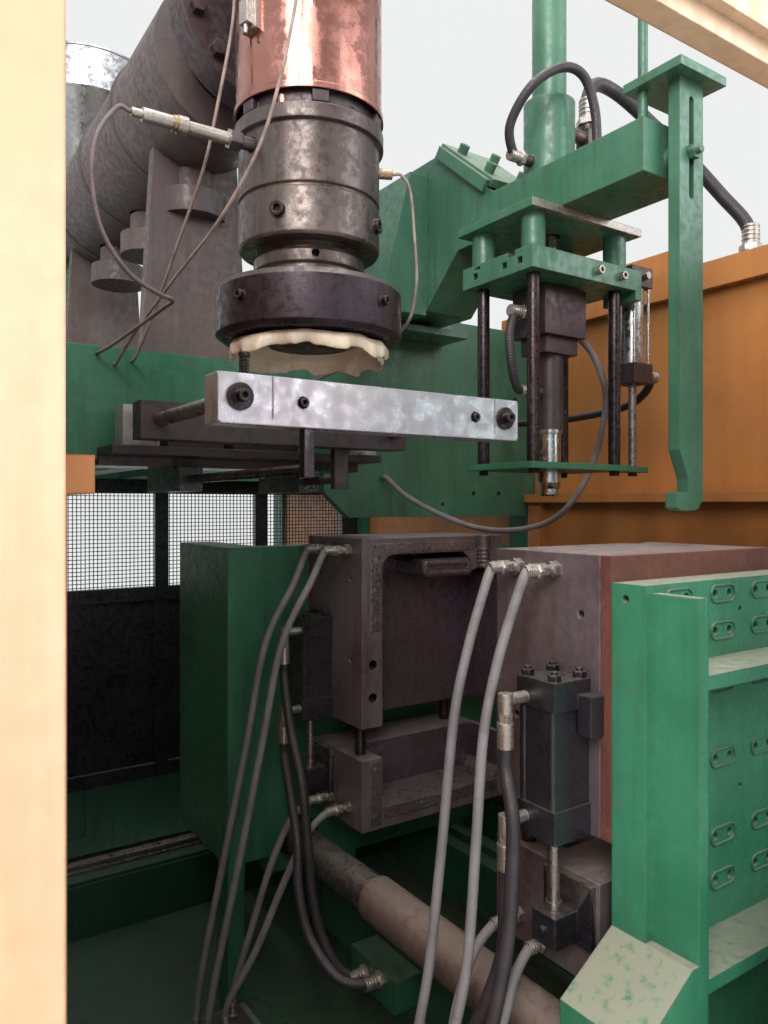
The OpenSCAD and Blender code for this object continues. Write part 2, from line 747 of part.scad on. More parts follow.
// Near pinch bar: aluminium bar with split end blocks on two guide rods
module pinch_bar_near() {
  x = [-608, 72];
  y = [-1265, -1205];
  color([0.66, 0.64, 0.66]) difference() {
    union() {
      span([x[0] + 4, x[1] - 4], y, pinch_z);
      translate([x[0], 0, 0]) rotate([90, 0, 90]) linear_extrude(680)
        polygon([[y[0] + 4, pinch_z[0]], [y[1] - 4, pinch_z[0]], [y[1], pinch_z[0] + 4],
          [y[1], pinch_z[1] - 4], [y[1] - 4, pinch_z[1]], [y[0] + 4, pinch_z[1]],
          [y[0], pinch_z[1] - 4], [y[0], pinch_z[0] + 4]]);
    }
    for (rx = pinch_rod_x)
      bar_y(rx, [y[0] - 1, y[1] + 1], pinch_rod_z, pinch_d);
    for (jx = [x[0] + 100, x[1] - 66])
      span([jx, jx + 1.5], [y[0] - 1, y[1] + 1], [pinch_z[0] + 12, pinch_z[1] + 1]);
    for (sx = [x[0] + 160, x[1] - 120])
      bar_y(sx, [y[0] - 1, y[0] + 12], 1782, 22);
    for (hx = [x[0] + 130:85:x[1] - 100])
      bar_z(hx, -1235, [pinch_z[0] - 1, pinch_z[0] + 20], 14);
  }
  color([0.5, 0.48, 0.48]) {
    for (rx = pinch_rod_x) {
      bar_y(rx, [y[0], -605], pinch_rod_z, pinch_d);
      translate([rx, y[0], pinch_rod_z]) rotate([90, 0, 0]) difference() {
        cylinder(h = 6, d = 47);
        translate([0, 0, -1]) cylinder(h = 8, d = 10);
      }
      translate([rx, y[0] - 6, pinch_rod_z]) rotate([90, 0, 0]) socket_head(21, 18);
    }
    for (sx = [x[0] + 160, x[1] - 120])
      translate([sx, y[0] + 12, 1782]) rotate([90, 0, 0]) socket_head(16, 20);
    // Spring stud on top
    bar_z(x[0] + 60, -1235, [pinch_z[1], pinch_z[1] + 34], 10);
    bar_z(x[0] + 60, -1235, [pinch_z[1] + 34, pinch_z[1] + 42], 20);
    // Piston rod with its bracket
    span([-440, -420], [-1255, -1235], [1650, pinch_z[0]]);
    bar_y(-430, [-1235, -598], 1664, 20.9);
  }
}

// Far pinch bar, on the same guide rods
module pinch_bar_far() {
  y = [-841, -781];
  color([0.22, 0.20, 0.21]) difference() {
    span([-612, 76], y, [1742, 1824]);
    for (rx = pinch_rod_x)
      bar_y(rx, [y[0] - 1, y[1] + 1], pinch_rod_z, pinch_d + 0.1);
    for (hx = [-480:85:-60])
      bar_z(hx, -811, [1741, 1760], 14);
  }
  color([0.5, 0.48, 0.48]) {
    span([-120, -80], [-811, -791], [1640, 1742]);
    bar_y(-100, [-791, -402], 1664, 20.9);
  }
}

// Air filter with its bowl on a green bracket at the left
module air_filter() {
  color([0.17, 0.38, 0.27]) {
    span([-830, -800], [-603, -583], [1720, 1960]);
    span([-800, -720], [-603, -593], [1720, 1960]);
  }
  color([0.55, 0.52, 0.5]) {
    span([-795, -735], [-663, -603], [1880, 1915]);
    bar_z(-765, -633, [1800, 1880], 52);
    bar_z(-765, -633, [1915, 1945], 40);
  }
  color([0.62, 0.45, 0.33]) bar_z(-765, -633, [1770, 1800], 44);
}

rod_at = [for (sx = [-1, 1], sy = [-1, 1]) [pin_x + sx * 150, parting_y + sy * 92]];
guide_z = [2171, 2226];
top_plate_z = [2313, 2333];

// Fixing plate, spacer columns and bored guide block of the blow unit
module blow_mount() {
  color([0.30, 0.42, 0.38]) difference() {
    translate([pin_x - 200, parting_y - 140, top_plate_z[0]]) cube([400, 280, 20]);
    bar_z(pin_x, parting_y, [top_plate_z[0] - 1, top_plate_z[1] + 1], 60);
    for (p = rod_at)
      bar_z(p[0], p[1], [top_plate_z[0] - 1, top_plate_z[0] + 12], guide_d + 8);
  }
  color([0.42, 0.56, 0.50]) {
    for (p = rod_at)
      difference() {
        bar_z(p[0], p[1], [guide_z[1], top_plate_z[0]], 60);
        bar_z(p[0], p[1], [guide_z[1] - 1, top_plate_z[0] + 1], guide_d + 8);
      }
    difference() {
      translate([pin_x - 190, parting_y - 130, guide_z[0]]) cube([380, 260, 55]);
      for (p = rod_at)
        bar_z(p[0], p[1], [guide_z[0] - 1, guide_z[1] + 1], guide_d + 0.1);
      bar_z(pin_x, parting_y, [guide_z[0] - 1, guide_z[1] + 1], 70);
      for (y = [-95, -40, 70])
        span([pin_x - 191, pin_x - 165], [parting_y + y, parting_y + y + 18],
          [guide_z[0] + 18, guide_z[0] + 34]);
      for (y = [-70, 60])
        span([pin_x - 191, pin_x - 140], [parting_y + y, parting_y + y + 26],
          [guide_z[1] - 14, guide_z[1] + 1]);
    }
    // Clamp plate on the right end with two screws
    span([pin_x + 190, pin_x + 214], [parting_y - 130, parting_y - 20], [guide_z[0] - 24, guide_z[1]]);
  }
  color([0.5, 0.5, 0.5]) for (x = [40, 130])
    translate([pin_x + x, parting_y - 130, guide_z[0] + 28]) rotate([90, 0, 0])
      socket_head(22, 16);
}

// Tall blow cylinder above the beam
module blow_cylinder() {
  color([0.42, 0.62, 0.52]) difference() {
    union() {
      bar_z(pin_x, parting_y, [beam_z[1], 2664], 135);
      bar_z(pin_x, parting_y, [2664, 3060], 90);
      bar_z(pin_x, parting_y, [3060, 3100], 112);
    }
    bar_z(pin_x, parting_y, [beam_z[1] - 1, 2980], 44);
  }
  color([0.3, 0.3, 0.3]) {
    bar_x([pin_x + 67, pin_x + 128], parting_y, 2612, 36);
    span([pin_x + 128, pin_x + 172], [parting_y - 22, parting_y + 22], [2590, 2634]);
    bar_z(pin_x + 150, parting_y, [2634, 2650], 48);
    bar_x([pin_x - 96, pin_x - 66], parting_y, 2500, 30);
  }
}

side_x = pin_x + 262;
side_y = parting_y - 62;

// Side cylinder that moves the stripper plate: square caps, barrel and tie rods
module stripper_cylinder() {
  color([0.33, 0.31, 0.32]) {
    difference() {
      union() {
        span([side_x - 38, side_x + 38], [side_y - 38, side_y + 38], [1936, 1990]);
        span([side_x - 38, side_x + 38], [side_y - 38, side_y + 38], [2200, 2254]);
        bar_z(side_x, side_y, [1990, 2200], 62);
      }
      bar_z(side_x, side_y, [1935, 2190], 22);
    }
    for (sx = [-1, 1], sy = [-1, 1])
      bar_z(side_x + sx * 30, side_y + sy * 30, [1990, 2200], 8);
  }
  color([0.30, 0.42, 0.38]) span([pin_x + 214, side_x - 38], [side_y - 38, side_y + 20], [2150, 2254]);
  color([0.5, 0.5, 0.5]) {
    bar_x([side_x + 38, side_x + 56], side_y, 1963, 28);
    bar_y(side_x, [side_y - 56, side_y - 38], 2227, 20);
  }
}

pin_drop = 170;

// Blow pin: piston rod, holding block, shaft and bright calibration tip
module blow_pin() {
  color([0.35, 0.32, 0.34]) {
    translate([pin_x - 75, parting_y - 60, 2040]) cube([150, 120, 126]);
    translate([pin_x - 58, parting_y - 46, 1996]) cube([116, 92, 44]);
    bar_z(pin_x, parting_y, [1800, 1996], shaft_d);
    bar_x([pin_x - 92, pin_x - 75], parting_y, 2100, 26);
    bar_x([pin_x + 75, pin_x + 92], parting_y, 2060, 26);
    bar_x([pin_x - 58, pin_x - 30], parting_y, 1896, 26);
  }
  color([0.6, 0.6, 0.62]) bar_z(pin_x, parting_y, [2166, 2700], 43.9);
  color([0.82, 0.82, 0.84]) difference() {
    translate([pin_x, parting_y, 0]) rotate_extrude() polygon([
      [0, 1800], [34, 1800], [34, 1790], [31, 1788], [31, 1660], [28, 1650], [25, 1642],
      [25, 1628], [21, 1624], [0, 1624]
    ]);
    for (a = [0:45:315])
      translate([pin_x, parting_y, 1632]) rotate([0, 90, a])
        translate([0, 0, 14]) cylinder(h = 14, d = 6, $fn = 16);
  }
}

stripper_z = [1690, 1706];

// Stripper plate with its four guide rods and the side cylinder's rod
module stripper_plate() {
  color([0.25, 0.42, 0.34]) difference() {
    union() {
      translate([pin_x - 185, parting_y - 118, stripper_z[0]]) cube([370, 236, 16]);
      span([pin_x + 184, side_x + 30], [side_y - 30, side_y + 30], stripper_z);
    }
    bar_z(pin_x, parting_y, [stripper_z[0] - 1, stripper_z[1] + 1], 84);
  }
  color([0.42, 0.36, 0.36]) for (p = rod_at)
    bar_z(p[0], p[1], [stripper_z[1], 2318], guide_d);
  color([0.3, 0.3, 0.3]) for (p = rod_at)
    translate([p[0], p[1], stripper_z[0] - 12]) hex(26, 12);
  color([0.6, 0.6, 0.6]) bar_z(side_x, side_y, [stripper_z[1], 2080], 21.9);
  color([0.3, 0.3, 0.3]) translate([side_x, side_y, stripper_z[0] - 10]) hex(24, 10);
}

// Hook bar: slotted flat bar with a forged hook and a guided top plate
module hook_bar() {
  w = hook_x[1] - hook_x[0];
  color([0.30, 0.50, 0.40]) difference() {
    translate([hook_x[0], hook_y[1], 0]) rotate([90, 0, 0]) linear_extrude(hook_y[1] - hook_y[0])
      difference() {
        polygon([[0, 1722], [0, 2535], [w, 2535], [w, 1616], [w - 16, 1592], [w - 34, 1587],
          [8, 1587], [-10, 1594], [-10, 1628], [30, 1628], [30, 1660]]);
        translate([w / 2, 2284]) circle(d = 17);
        translate([w / 2, 2494]) circle(d = 17);
        translate([w / 2 - 8.5, 2284]) square([17, 210]);
      }
  }
  color([0.30, 0.50, 0.40]) difference() {
    span([hook_x[0] - 40, hook_x[1] + 40], [-1480, -1330], [2535, 2555]);
    bar_z(hook_x[0] - 12, -1362, [2534, 2556], 22.1);
  }
}

// Carriage bed: two deep side beams, cross plates, platen rails, runner blocks, valve block
module carriage_bed() {
  color([0.17, 0.38, 0.27]) {
    for (x = bed_x)
      translate([x[0], 0, 0]) rotate([90, 0, 90]) linear_extrude(x[1] - x[0])
        polygon([[-1760, bed_z], [-1480, bed_z], [-1400, 340], [-60, 340], [70, bed_z],
          [330, bed_z], [540, bed_z], [540, bed_top], [-1760, bed_top]]);
    span([bed_x[0][1], bed_x[1][0]], [-1760, -1640], [bed_z, bed_top]);
    span([bed_x[0][1], bed_x[1][0]], [420, 540], [bed_z, bed_top]);
    span([bed_x[0][1], bed_x[1][0]], [-230, -110], [400, bed_top]);
    // Bracket down to the shuttle rod
    span([bed_x[1][0] + 50, bed_x[1][0] + 80], [-1760, -1680], [286, bed_z]);
  }
  color([0.5, 0.5, 0.52]) {
    for (x = bed_x)
      span([(x[0] + x[1]) / 2 - 17, (x[0] + x[1]) / 2 + 17], [-1750, 530], [bed_top, foot_z]);
    for (x = bed_x, y = [rail_front_y, rail_rear_y])
      difference() {
        span([x[0] + 10, x[1] - 10], [y - 50, y + 50], [base_h + 6, bed_z]);
        span([x[0] + 9, x[1] - 9], [y - rail_w / 2 - gap, y + rail_w / 2 + gap],
          [base_h + 5, base_h + rail_h + gap]);
      }
  }
  color([0.24, 0.23, 0.23]) {
    span([-40, bed_x[0][0]], [-960, -760], [370, 450]);
  }
}

// Shuttle cylinder in front of the front rail beam
module shuttle_cylinder() {
  y = -1720;
  z = 330;
  color([0.12, 0.12, 0.13]) {
    difference() {
      union() {
        bar_x([-930, -290], y, z, 76);
        span([-940, -890], [y - 44, y + 44], [z - 44, z + 44]);
        span([-320, -270], [y - 44, y + 44], [z - 44, z + 44]);
      }
      bar_x([-900, -269], y, z, 36);
    }
    for (x = [-915, -305])
      span([x - 20, x + 20], [y + 44, front_beam_y[0]], [z - 40, z + 40]);
  }
}

// Piston rod of the shuttle cylinder
module shuttle_rod() {
  color([0.75, 0.75, 0.77]) bar_x([-330, bed_x[1][0] + 50], -1720, 330, 35.9);
}

// Platen plate seen from behind: pads with bolt holes, ribs and feet; y grows away from the mould
module platen_plate(tie_play, holes_z) {
  back = half_gap + mould_t;
  x1 = 790;
  difference() {
    union() {
      span([mx0, x1], [back, back + platen_t], [platen_z, mould_top - 46]);
      span([mx0 + 18, mx0 + 42], [back + platen_t, back + platen_t + rib_d],
        [platen_z, mould_top - 60]);
      span([x1 - 42, x1 - 18], [back + platen_t, back + platen_t + rib_d],
        [platen_z, mould_top - 60]);
      for (z = [810, 1300])
        span([mx0 + 42, x1 - 42], [back + platen_t, back + platen_t + rib_d], [z, z + 24]);
      span([mx0, x1], [back + platen_t, back + platen_t + rib_d], [platen_z, platen_z + 24]);
      for (t = tie_at)
        if (t[0] > mx1)
          bar_y(t[0], [back + platen_t, back + platen_t + rib_d], t[1], tie_d + 86);
      children();
    }
    for (t = tie_at)
      bar_y(t[0], [back - 1, back + platen_t + rib_d + 1], t[1], tie_d + tie_play);
    for (z = holes_z, k = [0:3])
      for (s = [0, 44])
        translate([mx0 + 70 + k * 130 + s, back + platen_t + 1, z]) rotate([90, 0, 0])
          cylinder(h = 34, d = 15, $fn = 24);
    for (z = [1405, 1073], k = [0:3])
      translate([mx0 + 148 + k * 130, back + platen_t + 1, z]) rotate([90, 0, 0])
        cylinder(h = 30, d = 11, $fn = 24);
    for (z = [mould_top - 72, platen_z + 180])
      bar_x([mx0 - 1, mx0 + 30], back + 30, z, 13);
  }
  // Raised pads around each pair of holes
  for (z = holes_z, k = [0:3])
    translate([mx0 + 92 + k * 130, back + platen_t, z]) rotate([-90, 0, 0]) linear_extrude(3)
      difference() {
        union() {
          for (s = [-22, 22])
            translate([s, 0]) circle(d = 33);
          square([44, 33], center = true);
        }
        union() {
          for (s = [-22, 22])
            translate([s, 0]) circle(d = 27);
          square([44, 27], center = true);
        }
      }
  // Feet over the bed's rails
  for (x = bed_x)
    difference() {
      span([(x[0] + x[1]) / 2 - 50, (x[0] + x[1]) / 2 + 50],
        [back + 5, back + platen_t + rib_d - 5], [bed_top + 5, platen_z]);
      span([(x[0] + x[1]) / 2 - 17 - gap, (x[0] + x[1]) / 2 + 17 + gap],
        [back, back + 200], [bed_top, foot_z + gap]);
    }
}

pad_z = [1438, 1370, 1273, 1137, 995, 915];

// Near platen with the sloping lug that holds the lower left tie bar
module near_platen() {
  back = half_gap + mould_t;
  color([0.20, 0.44, 0.32]) clamp_half(true) platen_plate(0.6, pad_z)
    translate([0, back + platen_t + rib_d, 0]) rotate([90, 0, 0])
      linear_extrude(platen_t + rib_d)
        polygon([[mx0 + 20, platen_z], [mx0 + 20, 863], [mx0, 863], [-136, 779],
          [-136, platen_z]]);
  // Bracket and manifold for the near hoses
  color([0.17, 0.38, 0.27]) {
    span([-148, -136], [near_back - 150, near_back + 13], [560, 640]);
    span([-285, -136], [near_back - 17, near_back + 13], [560, 572]);
    span([-285, -185], [near_back + 13, near_back + 273], [560, 572]);
  }
  color([0.24, 0.23, 0.23]) span([-280, -190], [near_back + 23, near_back + 268], [572, 608]);
}

// Tie bars with thick sleeves near the front platen and nuts on both ends
module tie_bars() {
  y_front = near_back - platen_t - rib_d;
  color([0.42, 0.34, 0.31]) for (t = tie_at) {
    bar_y(t[0], [y_front - 60, 330], t[1], tie_d);
    difference() {
      bar_y(t[0], [near_back, near_back + 700], t[1], sleeve_d);
      bar_y(t[0], [near_back - 1, near_back + 701], t[1], tie_d);
    }
    translate([t[0], y_front, t[1]]) rotate([90, 0, 0]) difference() {
      cylinder(h = 44, d = tie_d + 60, $fn = 6);
      translate([0, 0, -1]) cylinder(h = 46, d = tie_d);
    }
    translate([t[0], 320, t[1]]) rotate([90, 0, 0]) difference() {
      cylinder(h = 50, d = tie_d + 50, $fn = 6);
      translate([0, 0, -1]) cylinder(h = 52, d = tie_d);
    }
  }
}

yoke_y = [190, 270];

// Rear yoke that joins the tie bars and carries the clamp cylinder
module rear_yoke() {
  color([0.17, 0.38, 0.27]) difference() {
    union() {
      translate([0, yoke_y[1], 0]) rotate([90, 0, 0]) linear_extrude(yoke_y[1] - yoke_y[0])
        polygon([[-120, platen_z], [780, platen_z], [780, 1420], [600, 1420], [-120, 720]]);
      bar_y(mould_x, yoke_y, clamp_z, 330);
    }
    for (t = tie_at)
      bar_y(t[0], [yoke_y[0] - 1, yoke_y[1] + 1], t[1], tie_d + 0.6);
    bar_y(mould_x, [yoke_y[0] - 1, yoke_y[1] + 1], clamp_z, 200.6);
  }
  color([0.17, 0.38, 0.27]) for (x = bed_x)
    difference() {
      span([(x[0] + x[1]) / 2 - 50, (x[0] + x[1]) / 2 + 50], yoke_y, [bed_top + 5, platen_z]);
      span([(x[0] + x[1]) / 2 - 17 - gap, (x[0] + x[1]) / 2 + 17 + gap],
        [yoke_y[0] - 1, yoke_y[1] + 1], [bed_top, foot_z + gap]);
    }
}

// Clamp cylinder barrel through the yoke
module clamp_cylinder() {
  color([0.17, 0.38, 0.27]) difference() {
    union() {
      bar_y(mould_x, [-60, 600], clamp_z, 200);
      bar_y(mould_x, [yoke_y[0] - 40, yoke_y[0]], clamp_z, 290);
    }
    bar_y(mould_x, [-61, 560], clamp_z, 80);
  }
  color([0.3, 0.3, 0.3]) for (a = [0:45:315])
    translate([mould_x + 122 * cos(a), yoke_y[0] - 40, clamp_z + 122 * sin(a)])
      rotate([90, 0, 0]) hex(30, 18);
}

// Rod from the far platen into the clamp cylinder
module clamp_rod() {
  back = parting_y + half_gap + mould_t + platen_t;
  color([0.75, 0.75, 0.77]) bar_y(mould_x, [back + 40, 510], clamp_z, 79.9);
  color([0.17, 0.38, 0.27]) bar_y(mould_x, [back + 3, back + 40], clamp_z, 180);
}

// Far platen: the same plate with a deep box on its left side and a brace
module far_platen() {
  back = half_gap + mould_t;
  left = -261;
  box_d = 398;
  color([0.20, 0.42, 0.31]) clamp_half(false) {
    platen_plate(36, pad_z) {
      difference() {
        union() {
          span([left, mx0], [back, back + platen_t], [590, mould_top - 30]);
          span([-136, mx0 + 1], [back, back + platen_t], [platen_z, 600]);
        }
        span([left - 1, left + 1], [back - 1, back + platen_t + 1], [589, 590.5]);
      }
      difference() {
        span([left, left + 110], [back + platen_t, back + box_d], [590, mould_top - 30]);
        span([left + 16, left + 111], [back + platen_t, back + box_d - 30],
          [650, mould_top - 60]);
      }
    }
    // Brace from the box down to the plate
    translate([left + 111, 0, 0]) rotate([90, 0, 90]) linear_extrude(24)
      polygon([[back + platen_t, 640], [back + platen_t + 230, 900],
        [back + platen_t + 230, 960], [back + platen_t, 760]]);
  }
  // Leg, arm and manifold for the far hoses
  color([0.17, 0.38, 0.27]) {
    span([-261, -211], [far_back, far_back + platen_t], [188, 600]);
    span([-445, -211], [far_back - 157, far_back], [188, 200]);
  }
  color([0.24, 0.23, 0.23]) span([-440, -250], [far_back - 157, far_back - 57], [200, 236]);
}

cavity_x = [mx0 + 65, mx1 - 17];
cavity_d = 132;
pillar_at = [[mx0 + 32, 60], [mx1 - 60, 210]];

// Outline of the canister's upper half in the parting plane: body, handle hump and shoulder
module canister_outline() {
  r = 38;
  difference() {
    polygon([[cavity_x[0], upper_z - 1], [cavity_x[0], 1466 - r], [cavity_x[0] + r, 1466],
      [neck_x - 78, 1466], [neck_x - 50, 1440], [neck_x - 46, 1412],
      [cavity_x[1] - r, 1412], [cavity_x[1], 1412 - r], [cavity_x[1], upper_z - 1]]);
  }
  translate([cavity_x[0] + r, 1466 - r]) circle(r);
  translate([cavity_x[1] - r, 1412 - r]) circle(r);
}

// Upper mould half: cavity, handle insert, neck insert, pinch-off insert, bushes and fittings
module mould_half(near) {
  face = half_gap;
  back = half_gap + mould_t;
  color([0.50, 0.46, 0.48]) clamp_half(near) {
    difference() {
      span([mx0, mx1], [face, back], [upper_z, mould_top]);
      // Cavity, with its far wall tapered in two steps
      translate([0, face + cavity_d, 0]) rotate([90, 0, 0]) linear_extrude(cavity_d + 1)
        canister_outline();
      // Neck bore for thread insert and blow pin
      bar_z(neck_x, face, [1400, mould_top + 1], 64);
      for (z = [1172, 1010 + 74])
        bar_y(mx0 + 34, [face - 1, face + 60], z, 26);
      for (p = [[face + 60, 1400], [face + 60, 1180], [back - 70, 1400], [back - 70, 1210]])
        bar_x([mx0 - 1, mx0 + 30], p[0], p[1], 15);
      span([mx0 - 1, mx1 + 1], [back - 26, back - 24], [upper_z - 1, mould_top + 1]);
      for (p = pillar_at)
        bar_z(p[0], face + p[1], [upper_z - 1, upper_z + 120], 31);
    }
    span([mx0 + 1, mx1 - 1], [back - 27, back - 23], [upper_z + 1, mould_top - 1]);
    // Handle insert stands in the cavity up to the parting plane
    translate([pin_x - 224, face + 1, 1398]) round_plate(180, 50, cavity_d, 16);
    translate([pin_x - 218, face - 1.5, 1404]) difference() {
      round_plate(168, 38, 3, 12);
      translate([12, -1, 10]) round_plate(144, 18, 5, 8);
    }
    // Thread insert of the neck
    translate([neck_x, face, 1416]) difference() {
      union() {
        for (k = [0:4])
          translate([0, 0, k * 11]) cylinder(h = 6, d = 64);
        cylinder(h = 55, d = 64);
      }
      translate([0, 0, -1]) cylinder(h = 60, d = 52);
      for (k = [0:3])
        translate([0, 0, 7 + k * 12]) cylinder(h = 5, d = 56);
      translate([-40, -40, -1]) cube([80, 40, 60]);
    }
    // Pinch-off insert strip with bolts around the arch
    difference() {
      union() {
        span([mx0 + 28, mx0 + 62], [face - 1.5, face + 1], [1262, 1496]);
        span([mx0 + 28, neck_x - 42], [face - 1.5, face + 1], [1470, 1496]);
      }
    }
    for (p = [[mx0 + 45, 1290], [mx0 + 45, 1370], [mx0 + 45, 1450], [mx0 + 130, 1483],
        [mx0 + 220, 1483], [mx0 + 310, 1483]])
      translate([p[0], face - 1.5, p[1]]) rotate([90, 0, 0]) cylinder(h = 1, d = 13, $fn = 16);
  }
  // Hose fittings on the left face
  color([0.72, 0.70, 0.66]) clamp_half(near) for (v = [face + 66, face + 164])
    translate([mx0, v, 1477]) rotate([0, -90, 0]) {
      hex(34, 16);
      translate([0, 0, 16]) cylinder(h = 12, d = 22);
      translate([0, 0, 28]) hex(28, 16);
    }
}

module near_mould() {
  mould_half(true);
}

module far_mould() {
  mould_half(false);
}

lift_v = half_gap + 203;
lift_w = 92;
lift_x = [mx0 - lift_w, mx0];
lift_rod = 24;

// Lifting cylinder on the mould's left face: block, caps, tie-rod nuts, mount and elbows
module lift_cylinder(near) {
  x_mid = mx0 - lift_w / 2;
  v = [lift_v - 47, lift_v + 47];
  color([0.07, 0.07, 0.08]) clamp_half(near) {
    difference() {
      union() {
        span([lift_x[0], mx0], v, [1004, 1062]);
        span([lift_x[0] + 4, mx0], [v[0] + 4, v[1] - 4], [1062, 1236]);
        span([lift_x[0], mx0], v, [1236, 1288]);
        for (y = [v[0] + 12, v[1] - 12])
          bar_z(lift_x[0] + 8, y, [1062, 1236], 14);
      }
      bar_z(x_mid, lift_v, [1003, 1220], lift_rod + 0.1);
    }
    for (sx = [-1, 1], sy = [-1, 1])
      translate([x_mid + sx * 32, lift_v + sy * 33, 1288]) {
        hex(24, 12);
        cylinder(h = 18, d = 13, $fn = 16);
      }
    // Mount block beside the cylinder
    span([mx0 - 34, mx0], [v[1], v[1] + 30], [1190, 1262]);
  }
  // Elbows on the face away from the mould, with ferrules pointing down
  color([0.66, 0.60, 0.56]) clamp_half(near) for (z = [1056, 1252]) {
    y = lift_v - 26;
    bar_x([lift_x[0] - 50, lift_x[0]], y, z - (z > 1200 ? 0 : 20), 22);
    translate([lift_x[0] - 48, y, z - (z > 1200 ? 0 : 20)]) {
      translate([0, 0, -24]) cylinder(h = 36, d = 26);
      translate([0, 0, -40]) hex(28, 18);
      translate([0, 0, -86]) cylinder(h = 46, d = 31);
    }
  }
}

module near_lift_cylinder() {
  lift_cylinder(true);
}

module far_lift_cylinder() {
  lift_cylinder(false);
}

// Lower mould block with cavity base, insert strip, pillars, rod, clevis and fittings
module lower_mould(near) {
  face = half_gap;
  back = half_gap + mould_t;
  x_mid = mx0 - lift_w / 2;
  color([0.52, 0.47, 0.49]) clamp_half(near) {
    difference() {
      span([mx0, mx1], [face, back - 27], [lower_z, lower_top]);
      // Dished base of the canister
      translate([0, face + cavity_d, 0]) rotate([90, 0, 0]) linear_extrude(cavity_d + 1)
        polygon([[cavity_x[0], lower_top + 1], [cavity_x[0], lower_z + 88],
          [cavity_x[0] + 22, lower_z + 62], [cavity_x[1] - 22, lower_z + 62],
          [cavity_x[1], lower_z + 88], [cavity_x[1], lower_top + 1]]);
      for (z = [lower_z + 130, lower_z + 90])
        bar_x([mx0 - 1, mx0 + 30], back - 60, z, 12);
    }
    // Insert strip with three bolts beside the cavity and a bolted rim below it
    span([mx0 + 26, mx0 + 60], [face - 1.5, face + 1], [lower_z + 12, lower_top - 6]);
    span([mx0 + 66, mx1 - 20], [face - 1.5, face + 1], [lower_z + 24, lower_z + 56]);
    for (z = [lower_z + 34, lower_z + 96, lower_z + 160])
      translate([mx0 + 43, face - 1.5, z]) rotate([90, 0, 0]) cylinder(h = 1, d = 13, $fn = 16);
    for (x = [mx0 + 110, mx0 + 200, mx0 + 290, mx0 + 380])
      translate([x, face - 1.5, lower_z + 40]) rotate([90, 0, 0])
        cylinder(h = 1, d = 13, $fn = 16);
  }
  // Guide pillars up into the block above
  color([0.2, 0.19, 0.2]) clamp_half(near) for (p = pillar_at)
    bar_z(p[0], face + p[1], [lower_top - 20, upper_z + 30], 30.9);
  color([0.72, 0.66, 0.6]) clamp_half(near) {
    bar_z(x_mid, lift_v, [880, 1130], lift_rod);
    bar_z(x_mid, lift_v, [862, 880], 30);
  }
  // Clevis block, pin and bracket plate
  color([0.09, 0.08, 0.09]) clamp_half(near) {
    span([mx0 - 14, mx0], [lift_v - 56, lift_v + 60], [lower_z + 70, lower_top - 4]);
    difference() {
      span([x_mid - 26, mx0 - 14], [lift_v - 28, lift_v + 28], [806, 862]);
      bar_x([x_mid - 27, x_mid + 10], lift_v, 834, 14);
    }
  }
  color([0.6, 0.55, 0.5]) clamp_half(near) bar_x([x_mid - 34, x_mid + 9], lift_v, 834, 13.8);
  color([0.72, 0.70, 0.66]) clamp_half(near) for (v = [face + 66, face + 164])
    translate([mx0, v, lower_z + 50]) rotate([0, -90, 0]) {
      hex(32, 14);
      translate([0, 0, 14]) cylinder(h = 10, d = 20);
      translate([0, 0, 24]) hex(26, 12);
    }
}

module near_lower_mould() {
  lower_mould(true);
}

module far_lower_mould() {
  lower_mould(false);
}

// Sliding front door, parked in front of the fixed window
module front_door() {
  x = [10, 968];
  y = [front_y + 20, front_y + 46];
  color([0.80, 0.64, 0.47]) {
    difference() {
      span(x, y, [base_h + 20 + gap, header_z - 30 - gap]);
      span([x[0] + 70, x[1] - 70], [y[0] - 1, y[1] + 1], [900, 2090]);
    }
  }
  color([0.55, 0.62, 0.62]) span([x[0] + 70, x[1] - 70], [y[0] + 8, y[0] + 14], [900, 2090]);
  color([0.15, 0.15, 0.15]) difference() {
    span([x[0] + 20, x[0] + 46], [front_y + 4, front_y + 20], [1150, 1330]);
    span([x[0] + 19, x[0] + 47], [front_y + 12, front_y + 21], [1175, 1305]);
  }
}

// Hopper lid with its handle and hinge knuckle
module hopper_lid() {
  z = screw_z + 666 + gap;
  color([0.6, 0.62, 0.63]) translate([head_x, throat_y, z]) {
    difference() {
      cylinder(h = 8, d = 546);
      translate([-60, 258, -1]) cube([120, 30, 12]);
    }
    difference() {
      union() {
        translate([-29.7, 250, 0]) cube([59.4, hinge_y - throat_y - 250, 8]);
        translate([0, 0, -z]) bar_x([-29.7, 29.7], hinge_y - throat_y, hinge_z, 14);
      }
      translate([0, 0, -z]) bar_x([-30, 30], hinge_y - throat_y, hinge_z, 6);
    }
    translate([-20, -220, 7]) difference() {
      cube([40, 40, 27]);
      translate([8, -1, 8]) cube([24, 42, 12]);
    }
  }
}

// Screw: core, drive shank and a row of tilted flights inside the barrel
module screw() {
  color([0.6, 0.6, 0.6]) {
    bar_y(head_x, [-700, 1101], screw_z, 62);
    bar_y(head_x, [1101, 1280], screw_z, 121.9);
    for (y = [-690:90:1050])
      translate([head_x, y, screw_z]) rotate([-98, 0, 0]) translate([0, 0, -5])
        cylinder(h = 10, d = 88);
  }
}

